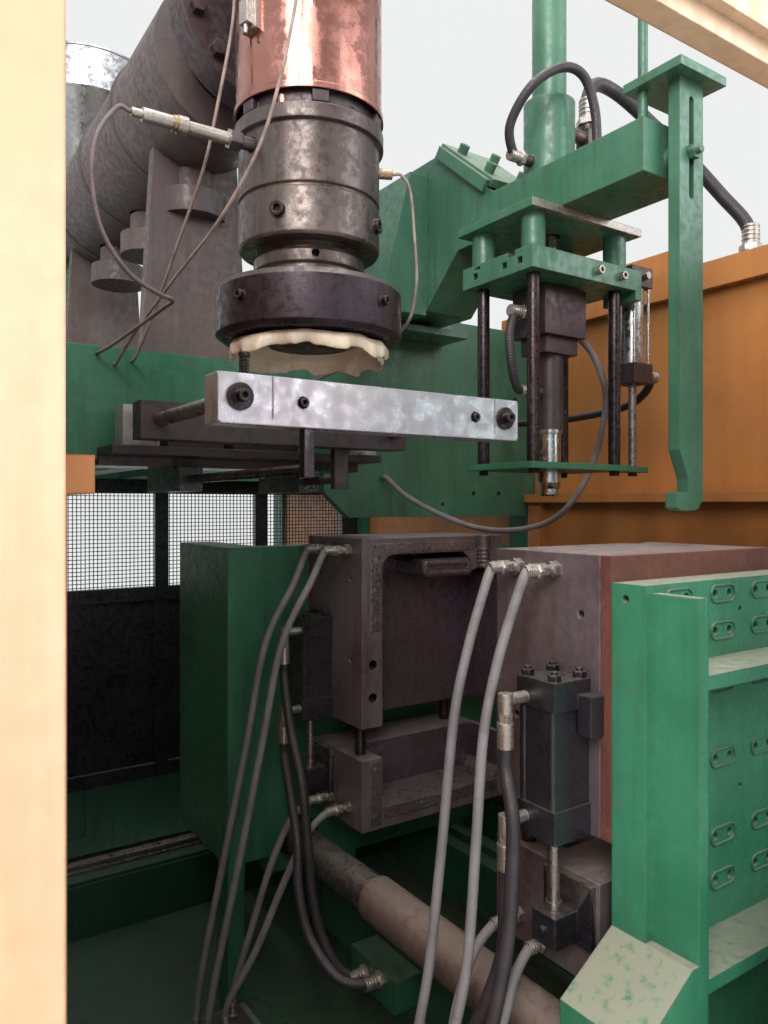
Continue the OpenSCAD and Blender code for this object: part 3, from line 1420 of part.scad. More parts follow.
// Water hoses of the near side: out of the fitting, over and down to the manifold
near_water_a = [[-51, -1352, 1477], [-80, -1352, 1477], [-110, -1352, 1410], [-142, -1353, 1325],
  [-176, -1354, 1200], [-206, -1354, 960], [-232, -1350, 750], [-250, -1345, 650],
  [-250, -1345, 608]];
near_water_b = [[-51, -1450, 1477], [-82, -1450, 1477], [-113, -1444, 1404], [-146, -1436, 1300],
  [-174, -1434, 1180], [-194, -1438, 1000], [-218, -1441, 790], [-255, -1440, 655],
  [-255, -1440, 608]];
near_low_a = [[-43, -1352, 780], [-75, -1352, 780], [-125, -1356, 750], [-175, -1372, 694],
  [-205, -1385, 640], [-205, -1385, 608]];
near_low_b = [[-43, -1450, 780], [-75, -1450, 780], [-122, -1462, 752], [-168, -1480, 698],
  [-205, -1484, 640], [-205, -1484, 608]];

// Oil hoses of the near lifting cylinder
near_oil_a = [[-147, -1463, 1166], [-147, -1463, 1130], [-158, -1494, 1050], [-166, -1500, 960],
  [-178, -1502, 850], [-214, -1502, 720], [-250, -1500, 645], [-250, -1500, 608]];
near_oil_b = [[-147, -1463, 950], [-147, -1463, 905], [-152, -1460, 800], [-180, -1446, 710],
  [-205, -1430, 645], [-205, -1430, 608]];

// Water hoses of the far side, down to the low manifold
far_water_a = [[-51, -694, 1477], [-82, -694, 1477], [-122, -688, 1396], [-196, -665, 1233],
  [-246, -650, 969], [-302, -638, 688], [-360, -622, 400], [-378, -612, 276],
  [-378, -612, 236]];
far_water_b = [[-51, -596, 1477], [-82, -596, 1477], [-124, -594, 1384], [-204, -584, 1225],
  [-254, -574, 960], [-312, -562, 670], [-370, -556, 390], [-386, -556, 276],
  [-386, -556, 236]];
far_low_a = [[-43, -694, 780], [-75, -694, 780], [-130, -690, 738], [-190, -672, 620], [-255, -635, 440],
  [-310, -600, 320], [-320, -590, 272], [-320, -590, 236]];
far_low_b = [[-43, -596, 780], [-75, -596, 780], [-135, -592, 734], [-190, -584, 620], [-240, -572, 460],
  [-279, -556, 320], [-285, -552, 272], [-285, -552, 236]];

// Oil hoses of the far lifting cylinder, looping to the valve block on the bed
far_oil_a = [[-147, -583, 1166], [-147, -583, 1132], [-156, -636, 1010], [-158, -706, 880],
  [-158, -738, 740], [-154, -752, 620], [-140, -772, 520], [-114, -808, 440], [-75, -830, 410],
  [-40, -830, 410]];
far_oil_b = [[-147, -583, 950], [-147, -583, 915], [-158, -644, 825], [-172, -710, 730],
  [-186, -744, 620], [-178, -790, 520], [-142, -866, 448], [-80, -900, 430], [-40, -900, 430]];

// Hoses of the blow pin: a short one down its side and one back to the cross plate
pin_hose_a = [[325, -1023, 2100], [296, -1023, 2100], [270, -1030, 2050], [264, -1036, 1998],
  [272, -1036, 1946], [300, -1026, 1902], [330, -1023, 1896], [359, -1023, 1896]];

// Hoses of the tall cylinder: a loop round it and one over to the cross plate
beam_loop = [[321, -1023, 2500], [290, -1023, 2500], [256, -1044, 2560], [276, -1100, 2640],
  [345, -1134, 2692], [415, -1142, 2690], [452, -1146, 2620], [460, -1148, 2540],
  [460, -1148, 2480], [460, -1148, 2452]];
elbow_end = [1022, -1228];
elbow_hose = [[567, -1023, 2650], [567, -1023, 2682], [578, -1016, 2744], [622, -1010, 2790],
  [700, -1020, 2780], [800, -1055, 2710], [900, -1110, 2610], [975, -1168, 2500],
  [1014, -1215, 2420], [1022, -1228, 2362], [1022, -1228, 2332]];
// Pressure hose of the stripper's cylinder
stroke_hose = [[735, -1085, 1963], [762, -1085, 1963], [790, -1040, 1926], [808, -950, 1896],
  [830, -750, 1885], [848, -550, 1888], [850, -412, 1895], [850, -383, 1895]];

// Melt sensor cable: a wide loop, then up to the platform beam
sensor_route = [[-691, -1053, 2322], [-716, -1053, 2322], [-752, -1056, 2262], [-762, -1060, 2180],
  [-746, -1064, 2090], [-700, -1062, 2024], [-640, -1040, 2000], [-590, -980, 2006],
  [-574, -880, 2016], [-590, -760, 2000], [-624, -650, 1970], [-640, -608, 1960],
  [-640, -583, 1960]];

// Heater and thermocouple wires of the head, to the platform beam
wire_a = [[-476, -1023, 2680], [-476, -1023, 2655], [-486, -1034, 2560], [-508, -1022, 2420],
  [-524, -980, 2290], [-540, -880, 2170], [-552, -740, 2040], [-560, -640, 1962],
  [-560, -606, 1950], [-560, -583, 1950]];
wire_b = [[-397, -1163, 2680], [-397, -1163, 2655], [-420, -1186, 2560], [-458, -1200, 2400],
  [-494, -1180, 2260], [-530, -1080, 2150], [-562, -900, 2070], [-590, -720, 1990],
  [-600, -608, 1940], [-600, -583, 1940]];
wire_c = [[-143, -1099, 2320], [-124.9, -1107.4, 2320], [-106, -1114, 2290], [-96, -1116, 2200],
  [-86, -1110, 2080], [-84, -1060, 2000], [-92, -900, 1958], [-100, -700, 1934],
  [-105, -606, 1930], [-105, -583, 1930]];

// Cable that sags from the cross plate past the far mould and up to the side cylinder
blow_route = [[509, -1023, 2060], [532, -1023, 2060], [592, -1020, 2020], [646, -1010, 1956],
  [688, -985, 1905], [716, -950, 1837], [755, -890, 1753], [740, -840, 1646],
  [693, -780, 1559], [621, -700, 1523], [541, -600, 1525], [445, -520, 1568],
  [356, -452, 1629], [308, -408, 1688], [308, -383, 1688]];

// Hose with a short straight lead at each end, so that its end faces sit square on the fittings
module hose(points, d, steps = 4) {
  n = len(points) - 1;
  first = points[0] + unit(points[1] - points[0]) * d * 0.25;
  last = points[n] + unit(points[n - 1] - points[n]) * d * 0.25;
  line = concat([first], [for (i = [1:n - 1]) points[i]], [last]);
  tube(concat([points[0]], smooth(line, steps), [points[n]]), d);
}

module near_water_hoses() {
  color([0.50, 0.50, 0.50]) {
    for (p = [near_water_a, near_water_b])
      hose(p, water_d);
  }
}

module near_low_hoses() {
  color([0.50, 0.50, 0.50]) {
    for (p = [near_low_a, near_low_b])
      hose(p, water_d);
  }
}

module near_oil_hoses() {
  color([0.10, 0.09, 0.10]) {
    for (p = [near_oil_a, near_oil_b])
      hose(p, oil_d);
  }
}

module far_water_hoses() {
  color([0.50, 0.50, 0.50]) {
    for (p = [far_water_a, far_water_b])
      hose(p, water_d);
  }
}

module far_low_hoses() {
  color([0.50, 0.50, 0.50]) {
    for (p = [far_low_a, far_low_b])
      hose(p, water_d);
  }
}

module far_oil_hoses() {
  color([0.10, 0.09, 0.10]) {
    for (p = [far_oil_a, far_oil_b])
      hose(p, oil_d);
  }
}

module pin_hoses() {
  color([0.12, 0.11, 0.12]) hose(pin_hose_a, 25);
}

module beam_hoses() {
  color([0.20, 0.19, 0.20]) {
    hose(beam_loop, 24);
    hose(elbow_hose, 38);
    hose(stroke_hose, 24);
  }
}

module sensor_cable() {
  color([0.40, 0.36, 0.36]) hose(sensor_route, 9);
}

module head_wires() {
  color([0.42, 0.38, 0.36]) {
    for (p = [wire_a, wire_b, wire_c])
      hose(p, 7, 3);
  }
}

module blow_hose() {
  color([0.30, 0.31, 0.31]) hose(blow_route, 18);
}

base_frame();
base_panels();
shuttle_rails();
upper_platform();
blow_bracket();
guard_frame();
side_guards();
rear_guard();
oil_unit();
barrel();
barrel_cover();
feed_hopper();
gearbox();
drive_motor();
head_body();
copper_shield();
die_body();
die_ring();
head_cylinder();
melt_sensor();
pinch_mount();
air_filter();
blow_mount();
blow_cylinder();
stripper_cylinder();
shuttle_cylinder();
die_core();
screw();
hopper_lid();
front_door();
hook_bar();
pinch_bar_near();
pinch_bar_far();
blow_pin();
stripper_plate();
carriage_bed();
shuttle_rod();
near_platen();
tie_bars();
rear_yoke();
clamp_cylinder();
near_mould();
near_lift_cylinder();
far_platen();
clamp_rod();
far_mould();
far_lift_cylinder();
near_lower_mould();
far_lower_mould();
near_water_hoses();
near_low_hoses();
near_oil_hoses();
far_water_hoses();
far_oil_hoses();
far_low_hoses();
pin_hoses();
beam_hoses();
sensor_cable();
head_wires();
blow_hose();
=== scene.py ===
"""Shuttle blow moulding machine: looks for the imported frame. Metres, same axes as the frame."""
import json
import math
import random

import bmesh
import bpy
from mathutils import Matrix, Vector

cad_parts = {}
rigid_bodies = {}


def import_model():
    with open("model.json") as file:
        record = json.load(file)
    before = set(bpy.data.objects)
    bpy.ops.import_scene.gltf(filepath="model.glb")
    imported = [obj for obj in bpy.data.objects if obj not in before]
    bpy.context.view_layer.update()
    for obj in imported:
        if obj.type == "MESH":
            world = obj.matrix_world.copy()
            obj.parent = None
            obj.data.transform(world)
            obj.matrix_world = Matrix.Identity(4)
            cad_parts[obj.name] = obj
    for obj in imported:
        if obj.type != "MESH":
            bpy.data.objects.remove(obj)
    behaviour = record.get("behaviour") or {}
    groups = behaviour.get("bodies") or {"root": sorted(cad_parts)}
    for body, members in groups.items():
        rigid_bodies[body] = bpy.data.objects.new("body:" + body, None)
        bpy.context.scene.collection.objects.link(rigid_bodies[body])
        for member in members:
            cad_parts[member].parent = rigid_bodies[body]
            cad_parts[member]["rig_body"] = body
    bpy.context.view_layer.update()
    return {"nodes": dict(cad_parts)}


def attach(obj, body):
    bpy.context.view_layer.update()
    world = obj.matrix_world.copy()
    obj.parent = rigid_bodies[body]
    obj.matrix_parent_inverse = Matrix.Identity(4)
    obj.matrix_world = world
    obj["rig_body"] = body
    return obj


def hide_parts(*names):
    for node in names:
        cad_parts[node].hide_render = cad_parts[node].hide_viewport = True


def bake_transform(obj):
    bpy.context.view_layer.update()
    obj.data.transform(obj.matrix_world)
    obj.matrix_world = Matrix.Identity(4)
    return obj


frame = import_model()
NODES = frame["nodes"]
rng = random.Random(7)


# Camera: eye height 1.60 m in the open front doorway, lens found from the photo's vanishing points
def put_camera():
    data = bpy.data.cameras.new("photo_camera")
    data.lens = 27.04
    data.sensor_width = 36
    data.clip_start = 0.02
    data.clip_end = 60
    data.shift_y = -7 / 1024
    cam = bpy.data.objects.new("photo_camera", data)
    bpy.context.scene.collection.objects.link(cam)
    ahead = Vector((0.556, 0.831, 0)).normalized()
    right = ahead.cross(Vector((0, 0, 1)))
    up = Vector((0, 0, 1))
    cam.matrix_world = Matrix((
        (right.x, up.x, -ahead.x, -1.09),
        (right.y, up.y, -ahead.y, -2.483),
        (right.z, up.z, -ahead.z, 1.6),
        (0, 0, 0, 1)))
    bpy.context.scene.camera = cam


put_camera()


def lin(r, g, b):
    """Linear colour of an 8-bit display colour."""
    out = []
    for c in (r, g, b):
        c /= 255
        out.append(c / 12.92 if c <= 0.04045 else ((c + 0.055) / 1.055) ** 2.4)
    return (*out, 1)


# Mesh building

class Shape:
    """Collects simple solids into one mesh. All sizes in millimetres in the row frame."""

    def __init__(self):
        self.bm = bmesh.new()
        self.index = 0

    def use(self, index):
        """Faces made from here on take this material index."""
        self._mark()
        self.index = index
        return self

    def _mark(self):
        for face in self.bm.faces:
            if not face.tag:
                face.material_index = self.index
                face.tag = True

    def _place(self, verts, matrix):
        bmesh.ops.transform(self.bm, matrix=matrix, verts=verts)

    def box(self, x, y, z, bevel=1.5):
        made = bmesh.ops.create_cube(self.bm, size=1)["verts"]
        size = (x[1] - x[0], y[1] - y[0], z[1] - z[0])
        mid = ((x[0] + x[1]) / 2, (y[0] + y[1]) / 2, (z[0] + z[1]) / 2)
        self._place(made, Matrix.Translation(mid) @ Matrix.Diagonal((*size, 1)))
        if bevel:
            edges = list({e for v in made for e in v.link_edges})
            bmesh.ops.bevel(self.bm, geom=edges, offset=min(bevel, min(size) * 0.3),
                            segments=2, affect="EDGES", profile=0.6)
        return self

    def lathe(self, profile, at=(0, 0, 0), axis=(0, 0, 1), sides=32, spin=0.0):
        """Turned solid: profile is a list of (radius, height); radius 0 closes an end."""
        z = Vector(axis).normalized()
        turn = z.to_track_quat("Z", "Y").to_matrix().to_4x4()
        place = Matrix.Translation(at) @ turn @ Matrix.Rotation(spin, 4, "Z")
        rings = []
        for r, h in profile:
            if r < 1e-6:
                rings.append([self.bm.verts.new(place @ Vector((0, 0, h)))])
            else:
                rings.append([self.bm.verts.new(place @ Vector((
                    r * math.cos(2 * math.pi * k / sides),
                    r * math.sin(2 * math.pi * k / sides), h))) for k in range(sides)])
        for a, b in zip(rings, rings[1:]):
            for k in range(sides):
                j = (k + 1) % sides
                quad = [a[k % len(a)], a[j % len(a)], b[j % len(b)], b[k % len(b)]]
                quad = [v for i, v in enumerate(quad) if v not in quad[:i]]
                if len(quad) > 2:
                    self.bm.faces.new(quad)
        for ring, flip in ((rings[0], True), (rings[-1], False)):
            if len(ring) > 2:
                self.bm.faces.new(ring[::-1] if flip else ring)
        return self

    def rod(self, a, b, d, chamfer=0.8, sides=24):
        a, b = Vector(a), Vector(b)
        h = (b - a).length
        c = min(chamfer, d * 0.2, h * 0.3)
        r = d / 2
        return self.lathe([(0, 0), (r - c, 0), (r, c), (r, h - c), (r - c, h), (0, h)], a, b - a, sides)

    def ring(self, at, axis, inner, outer, h, sides=32, chamfer=0.8):
        c = min(chamfer, (outer - inner) * 0.2, h * 0.3)
        ri, ro = inner / 2, outer / 2
        z = Vector(axis).normalized()
        turn = z.to_track_quat("Z", "Y").to_matrix().to_4x4()
        place = Matrix.Translation(at) @ turn
        pts = [(ri, 0), (ro - c, 0), (ro, c), (ro, h - c), (ro - c, h), (ri, h)]
        loops = [[self.bm.verts.new(place @ Vector((r * math.cos(2 * math.pi * k / sides),
                                                    r * math.sin(2 * math.pi * k / sides), z_)))
                  for k in range(sides)] for r, z_ in pts]
        for i in range(len(pts)):
            a, b = loops[i], loops[(i + 1) % len(pts)]
            for k in range(sides):
                j = (k + 1) % sides
                self.bm.faces.new([a[k], a[j], b[j], b[k]])
        return self

    def hexagon(self, at, axis, across, h, spin=0.0):
        r = across / 2 / math.cos(math.pi / 6)
        return self.lathe([(0, 0), (r, 0), (r, h - across * 0.06), (r - across * 0.07, h), (0, h)],
                          at, axis, 6, spin)

    def socket(self, at, axis, d, h):
        """Socket head screw standing on a face, with its hexagon recess."""
        r = d / 2
        z = Vector(axis).normalized()
        self.lathe([(0, 0), (r, 0), (r, h - 1), (r - 1, h), (r * 0.62, h), (r * 0.56, h - 0.6),
                    (r * 0.52, h * 0.45), (0, h * 0.42)], at, axis, 24)
        return self

    def tube(self, line, d, sides=12, wave=0.0, pitch=6.0):
        """Round tube along a line of points; wave and pitch give a corrugated hose."""
        line = [Vector(p) for p in line]
        n = len(line)
        heads = [(line[min(i + 1, n - 1)] - line[max(i - 1, 0)]).normalized() for i in range(n)]
        u = heads[0].cross(Vector((0, 0, 1)) if abs(heads[0].z) < 0.9 else Vector((1, 0, 0)))
        rings, run = [], 0.0
        for i, p in enumerate(line):
            if i:
                run += (p - line[i - 1]).length
            u = (u - heads[i] * u.dot(heads[i])).normalized()
            v = heads[i].cross(u)
            r = d / 2
            if wave:
                r *= 1 - wave * (0.5 + 0.5 * math.cos(2 * math.pi * run / pitch))
            rings.append([self.bm.verts.new(p + (u * math.cos(2 * math.pi * k / sides)
                                                 + v * math.sin(2 * math.pi * k / sides)) * r)
                          for k in range(sides)])
        for a, b in zip(rings, rings[1:]):
            for k in range(sides):
                j = (k + 1) % sides
                self.bm.faces.new([a[k], a[j], b[j], b[k]])
        self.bm.faces.new(rings[0][::-1])
        self.bm.faces.new(rings[-1])
        return self

    def emit(self, name, body, material, slot=None, smooth=34, hides=()):
        self._mark()
        bmesh.ops.recalc_face_normals(self.bm, faces=self.bm.faces[:])
        for face in self.bm.faces:
            face.smooth = True
        mesh = bpy.data.meshes.new(name)
        bmesh.ops.scale(self.bm, vec=(0.001, 0.001, 0.001), verts=self.bm.verts[:])
        self.bm.to_mesh(mesh)
        self.bm.free()
        for m in material if isinstance(material, (list, tuple)) else [material]:
            mesh.materials.append(m)
        obj = bpy.data.objects.new(name, mesh)
        bpy.context.scene.collection.objects.link(obj)
        mesh.set_sharp_from_angle(angle=math.radians(smooth))
        if body:
            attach(obj, body)
        if hides:
            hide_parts(*hides)
        return obj


def smooth_line(points, steps):
    """The same smooth line through the points as the CAD part's hoses follow."""
    p = [Vector(q) for q in points]
    out = []
    for i in range(len(p) - 1):
        a = 2 * p[0] - p[1] if i == 0 else p[i - 1]
        b, c = p[i], p[i + 1]
        d = 2 * c - b if i == len(p) - 2 else p[i + 2]
        for k in range(steps):
            t = k / steps
            out.append((2 * b + (c - a) * t + (2 * a - 5 * b + 4 * c - d) * t * t
                        + (3 * b - a - 3 * c + d) * t ** 3) / 2)
    return out + [p[-1]]


def even(line, gap):
    """The line with its points spaced evenly, about gap apart."""
    total = sum((b - a).length for a, b in zip(line, line[1:]))
    n = max(4, int(round(total / gap)))
    out, run, i = [line[0]], 0.0, 0
    for k in range(1, n):
        want = total * k / n
        while run + (line[i + 1] - line[i]).length < want:
            run += (line[i + 1] - line[i]).length
            i += 1
        seg = (line[i + 1] - line[i]).length
        out.append(line[i].lerp(line[i + 1], (want - run) / seg))
    return out + [line[-1]]


def led_line(points, d, gap):
    """Evenly spaced smooth line with a short straight lead at each end."""
    p = [Vector(q) for q in points]
    first = p[0] + (p[1] - p[0]).normalized() * d * 0.25
    last = p[-1] + (p[-2] - p[-1]).normalized() * d * 0.25
    return [p[0]] + even(smooth_line([first] + p[1:-1] + [last], 16), gap) + [p[-1]]


# Materials

def node(tree, kind, at=(0, 0), **values):
    made = tree.nodes.new(kind)
    for key, value in values.items():
        setattr(made, key, value)
    return made


def wear_group():
    """Masks that every material shares: mottle, fine grain, streaks, dust, edges, painted shade in crevices
    and a normal.
    """
    g = bpy.data.node_groups.new("wear_masks", "ShaderNodeTree")
    for name, default in (("Scale", 5.0), ("Bump", 0.1), ("Edge Radius", 0.004)):
        s = g.interface.new_socket(name, in_out="INPUT", socket_type="NodeSocketFloat")
        s.default_value = default
    for name in ("Mottle", "Fine", "Streak", "Dust", "Edge", "Crevice Shade"):
        g.interface.new_socket(name, in_out="OUTPUT", socket_type="NodeSocketFloat")
    g.interface.new_socket("Normal", in_out="OUTPUT", socket_type="NodeSocketVector")
    L = g.links.new
    gi, go = node(g, "NodeGroupInput"), node(g, "NodeGroupOutput")
    tc = node(g, "ShaderNodeTexCoord")

    def noise(mult, detail, stretch=None, rough=0.6):
        m = node(g, "ShaderNodeMath", operation="MULTIPLY")
        L(gi.outputs["Scale"], m.inputs[0])
        m.inputs[1].default_value = mult
        t = node(g, "ShaderNodeTexNoise")
        t.inputs["Detail"].default_value = detail
        t.inputs["Roughness"].default_value = rough
        L(m.outputs[0], t.inputs["Scale"])
        if stretch:
            mp = node(g, "ShaderNodeMapping")
            mp.inputs["Scale"].default_value = stretch
            L(tc.outputs["Object"], mp.inputs["Vector"])
            L(mp.outputs[0], t.inputs["Vector"])
        else:
            L(tc.outputs["Object"], t.inputs["Vector"])
        return t.outputs["Fac"]

    def ramp(value, lo, hi):
        r = node(g, "ShaderNodeMapRange", interpolation_type="SMOOTHSTEP")
        r.inputs["From Min"].default_value = lo
        r.inputs["From Max"].default_value = hi
        L(value, r.inputs["Value"])
        return r.outputs["Result"]

    def times(a, b):
        m = node(g, "ShaderNodeMath", operation="MULTIPLY", use_clamp=True)
        L(a, m.inputs[0])
        L(b, m.inputs[1])
        return m.outputs[0]

    mottle = noise(1, 6)
    fine = noise(14, 5)
    grain = noise(70, 3)
    streak = noise(6, 4, (1.6, 1.6, 0.12))
    L(ramp(mottle, 0.34, 0.68), go.inputs["Mottle"])
    L(ramp(fine, 0.36, 0.66), go.inputs["Fine"])
    L(ramp(streak, 0.42, 0.72), go.inputs["Streak"])
    geo = node(g, "ShaderNodeNewGeometry")
    sep = node(g, "ShaderNodeSeparateXYZ")
    L(geo.outputs["True Normal"], sep.inputs[0])
    up = ramp(sep.outputs["Z"], 0.2, 0.95)
    L(times(up, ramp(fine, 0.2, 0.52)), go.inputs["Dust"])
    bev = node(g, "ShaderNodeBevel", samples=3)
    L(gi.outputs["Edge Radius"], bev.inputs["Radius"])
    dot = node(g, "ShaderNodeVectorMath", operation="DOT_PRODUCT")
    L(bev.outputs[0], dot.inputs[0])
    L(geo.outputs["True Normal"], dot.inputs[1])
    inv = node(g, "ShaderNodeMath", operation="SUBTRACT")
    inv.inputs[0].default_value = 1.0
    L(dot.outputs["Value"], inv.inputs[1])
    L(times(ramp(inv.outputs[0], 0.02, 0.2), ramp(fine, 0.38, 0.6)), go.inputs["Edge"])
    # Painted shade: ambient occlusion finds recesses and gaps between parts, which the colour darkens
    ao = node(g, "ShaderNodeAmbientOcclusion", samples=3, only_local=False)
    ao.inputs["Distance"].default_value = 0.05
    near = node(g, "ShaderNodeMath", operation="SUBTRACT")
    near.inputs[0].default_value = 1.0
    L(ao.outputs["AO"], near.inputs[1])
    L(times(ramp(near.outputs[0], 0.15, 0.8), ramp(fine, 0.1, 0.6)), go.inputs["Crevice Shade"])
    bump = node(g, "ShaderNodeBump")
    bump.inputs["Distance"].default_value = 0.002
    mixh = node(g, "ShaderNodeMath", operation="ADD")
    L(fine, mixh.inputs[0])
    L(grain, mixh.inputs[1])
    L(mixh.outputs[0], bump.inputs["Height"])
    L(gi.outputs["Bump"], bump.inputs["Strength"])
    L(bev.outputs[0], bump.inputs["Normal"])
    L(bump.outputs[0], go.inputs["Normal"])
    return g


WEAR = wear_group()
DUST = lin(150, 142, 124)
MATS = {}


def surface(name, base, alt, rough=0.5, metal=0.0, dust=0.5, edge=0.3, edge_colour=None, streak=0.25,
            streak_colour=None, crevice_shade=0.6, crevice_shade_colour=None, scale=4.0, bump=0.12, radius=0.004,
            dust_colour=None, coat=0.0, spots=None, brushed=None):
    """A worn painted, metal or rubber surface, darkened with painted shade in its recesses. spots adds
    patches: (colour, scale, low, high, strength).
    """
    if name in MATS:
        return MATS[name]
    m = bpy.data.materials.new(name)
    m.use_nodes = True
    t = m.node_tree
    L = t.links.new
    bsdf = next(n for n in t.nodes if n.type == "BSDF_PRINCIPLED")
    w = node(t, "ShaderNodeGroup", node_tree=WEAR)
    w.inputs["Scale"].default_value = scale
    w.inputs["Bump"].default_value = bump
    w.inputs["Edge Radius"].default_value = radius

    def mix(a, b, fac, amount):
        x = node(t, "ShaderNodeMix", data_type="RGBA")
        if amount is None:
            L(fac, x.inputs[0])
        else:
            mm = node(t, "ShaderNodeMath", operation="MULTIPLY", use_clamp=True)
            L(fac, mm.inputs[0])
            mm.inputs[1].default_value = amount
            L(mm.outputs[0], x.inputs[0])
        for k, v in ((6, a), (7, b)):
            if isinstance(v, tuple):
                x.inputs[k].default_value = v
            else:
                L(v, x.inputs[k])
        return x.outputs[2]

    c = mix(base, alt, w.outputs["Mottle"], None)
    dark = tuple(v * 0.72 for v in base[:3]) + (1,)
    c = mix(c, dark, w.outputs["Fine"], 0.25)
    if spots:
        for colour, sc, lo, hi, strength in spots:
            tc = node(t, "ShaderNodeTexCoord")
            tex = node(t, "ShaderNodeTexNoise")
            tex.inputs["Scale"].default_value = sc
            tex.inputs["Detail"].default_value = 7
            tex.inputs["Roughness"].default_value = 0.68
            L(tc.outputs["Object"], tex.inputs["Vector"])
            r = node(t, "ShaderNodeMapRange", interpolation_type="SMOOTHSTEP")
            r.inputs["From Min"].default_value = lo
            r.inputs["From Max"].default_value = hi
            L(tex.outputs["Fac"], r.inputs["Value"])
            c = mix(c, colour, r.outputs["Result"], strength)
    c = mix(c, streak_colour or dark, w.outputs["Streak"], streak)
    # painted shade: recesses found by ambient occlusion take a darker colour
    c = mix(c, crevice_shade_colour or tuple(v * 0.35 for v in base[:3]) + (1,), w.outputs["Crevice Shade"], crevice_shade)
    c = mix(c, edge_colour or lin(130, 125, 115), w.outputs["Edge"], edge)
    c = mix(c, dust_colour or DUST, w.outputs["Dust"], dust)
    L(c, bsdf.inputs["Base Color"])
    rr = node(t, "ShaderNodeMapRange")
    rr.inputs["To Min"].default_value = max(0.05, rough - 0.12)
    rr.inputs["To Max"].default_value = min(1.0, rough + 0.18)
    L(w.outputs["Fine"], rr.inputs["Value"])
    rd = node(t, "ShaderNodeMath", operation="MULTIPLY_ADD", use_clamp=True)
    L(w.outputs["Dust"], rd.inputs[0])
    rd.inputs[1].default_value = 0.4 * dust
    L(rr.outputs[0], rd.inputs[2])
    L(rd.outputs[0], bsdf.inputs["Roughness"])
    if metal:
        mt = node(t, "ShaderNodeMath", operation="MULTIPLY_ADD", use_clamp=True)
        L(w.outputs["Dust"], mt.inputs[0])
        mt.inputs[1].default_value = -metal * dust
        mt.inputs[2].default_value = metal
        L(mt.outputs[0], bsdf.inputs["Metallic"])
    bsdf.inputs["Coat Weight"].default_value = coat
    bsdf.inputs["Coat Roughness"].default_value = 0.25
    normal = w.outputs["Normal"]
    if brushed:
        tc = node(t, "ShaderNodeTexCoord")
        mp = node(t, "ShaderNodeMapping")
        mp.inputs["Scale"].default_value = brushed
        tex = node(t, "ShaderNodeTexNoise")
        tex.inputs["Scale"].default_value = 60
        tex.inputs["Detail"].default_value = 3
        L(tc.outputs["Object"], mp.inputs["Vector"])
        L(mp.outputs[0], tex.inputs["Vector"])
        b = node(t, "ShaderNodeBump")
        b.inputs["Strength"].default_value = 0.25
        b.inputs["Distance"].default_value = 0.0006
        L(tex.outputs["Fac"], b.inputs["Height"])
        L(normal, b.inputs["Normal"])
        normal = b.outputs[0]
    L(normal, bsdf.inputs["Normal"])
    MATS[name] = m
    return m


green = surface("green_paint", lin(44, 104, 76), lin(58, 120, 90), 0.42, dust=0.6, edge=0.45,
    edge_colour=lin(98, 92, 80), streak=0.35, streak_colour=lin(34, 70, 53), coat=0.15,
    spots=[(lin(84, 94, 74), 7, 0.52, 0.75, 0.45)])
# Darker copy of the green paint for the low base, panels and carriage bed: painted shade of the dim lower
# machine
green_shaded = surface("base_green_shaded", lin(30, 76, 56), lin(40, 88, 66), 0.45, dust=0.12, edge=0.4,
    edge_colour=lin(88, 84, 74), streak=0.4, streak_colour=lin(26, 52, 42), coat=0.1,
    spots=[(lin(58, 66, 56), 6, 0.5, 0.74, 0.5)])
# Lighter copy of the green paint for the near platen, painted light: the far platen, the same paint, takes
# green_paint
green_platen_lit = surface("platen_green_lit", lin(46, 118, 86), lin(62, 136, 104), 0.38, dust=0.8,
    edge=0.55, edge_colour=lin(105, 100, 85), streak=0.3, streak_colour=lin(44, 92, 72), coat=0.2,
    dust_colour=lin(158, 148, 134), spots=[(lin(98, 116, 98), 9, 0.55, 0.75, 0.5)])
green_upper = surface("upper_green", lin(54, 104, 80), lin(72, 122, 98), 0.42, dust=0.4, edge=0.5,
    edge_colour=lin(150, 146, 134), streak=0.4, streak_colour=lin(56, 74, 62), coat=0.15,
    spots=[(lin(100, 104, 88), 8, 0.55, 0.8, 0.45)])
beige = surface("beige_paint", lin(214, 176, 140), lin(222, 188, 156), 0.4, dust=0.3, edge=0.35,
    edge_colour=lin(150, 120, 92), streak=0.3, streak_colour=lin(180, 142, 108), coat=0.2,
    scale=2.5)
orange = surface("orange_paint", lin(186, 122, 66), lin(170, 106, 58), 0.42, dust=0.3, edge=0.3,
    edge_colour=lin(110, 70, 42), streak=0.22, streak_colour=lin(140, 86, 50), coat=0.15,
    scale=1.6,
    spots=[(lin(104, 62, 40), 1.6, 0.5, 0.72, 0.55), (lin(196, 150, 112), 30, 0.68, 0.76, 0.5)])
black = surface("black_paint", lin(24, 23, 27), lin(38, 36, 42), 0.32, dust=0.5, edge=0.4,
    edge_colour=lin(104, 98, 98), streak=0.2, coat=0.4, dust_colour=lin(92, 86, 82))
steel = surface("ground_steel", lin(158, 150, 148), lin(130, 122, 120), 0.3, metal=0.9, dust=0.3,
    edge=0.1, streak=0.2, streak_colour=lin(104, 86, 70), brushed=(1, 1, 12), bump=0.05)
sleeve = surface("tie_bar_sleeve", lin(124, 108, 100), lin(98, 82, 76), 0.5, metal=0.35, dust=0.7,
    edge=0.2, streak=0.4, streak_colour=lin(84, 62, 50), dust_colour=lin(140, 124, 112),
    spots=[(lin(112, 74, 54), 9, 0.52, 0.7, 0.6)])
black_rod = surface("blackened_rod", lin(58, 52, 56), lin(42, 38, 42), 0.26, metal=0.8, dust=0.15,
    edge=0.2, streak=0.4, streak_colour=lin(112, 92, 88), brushed=(1, 1, 8))
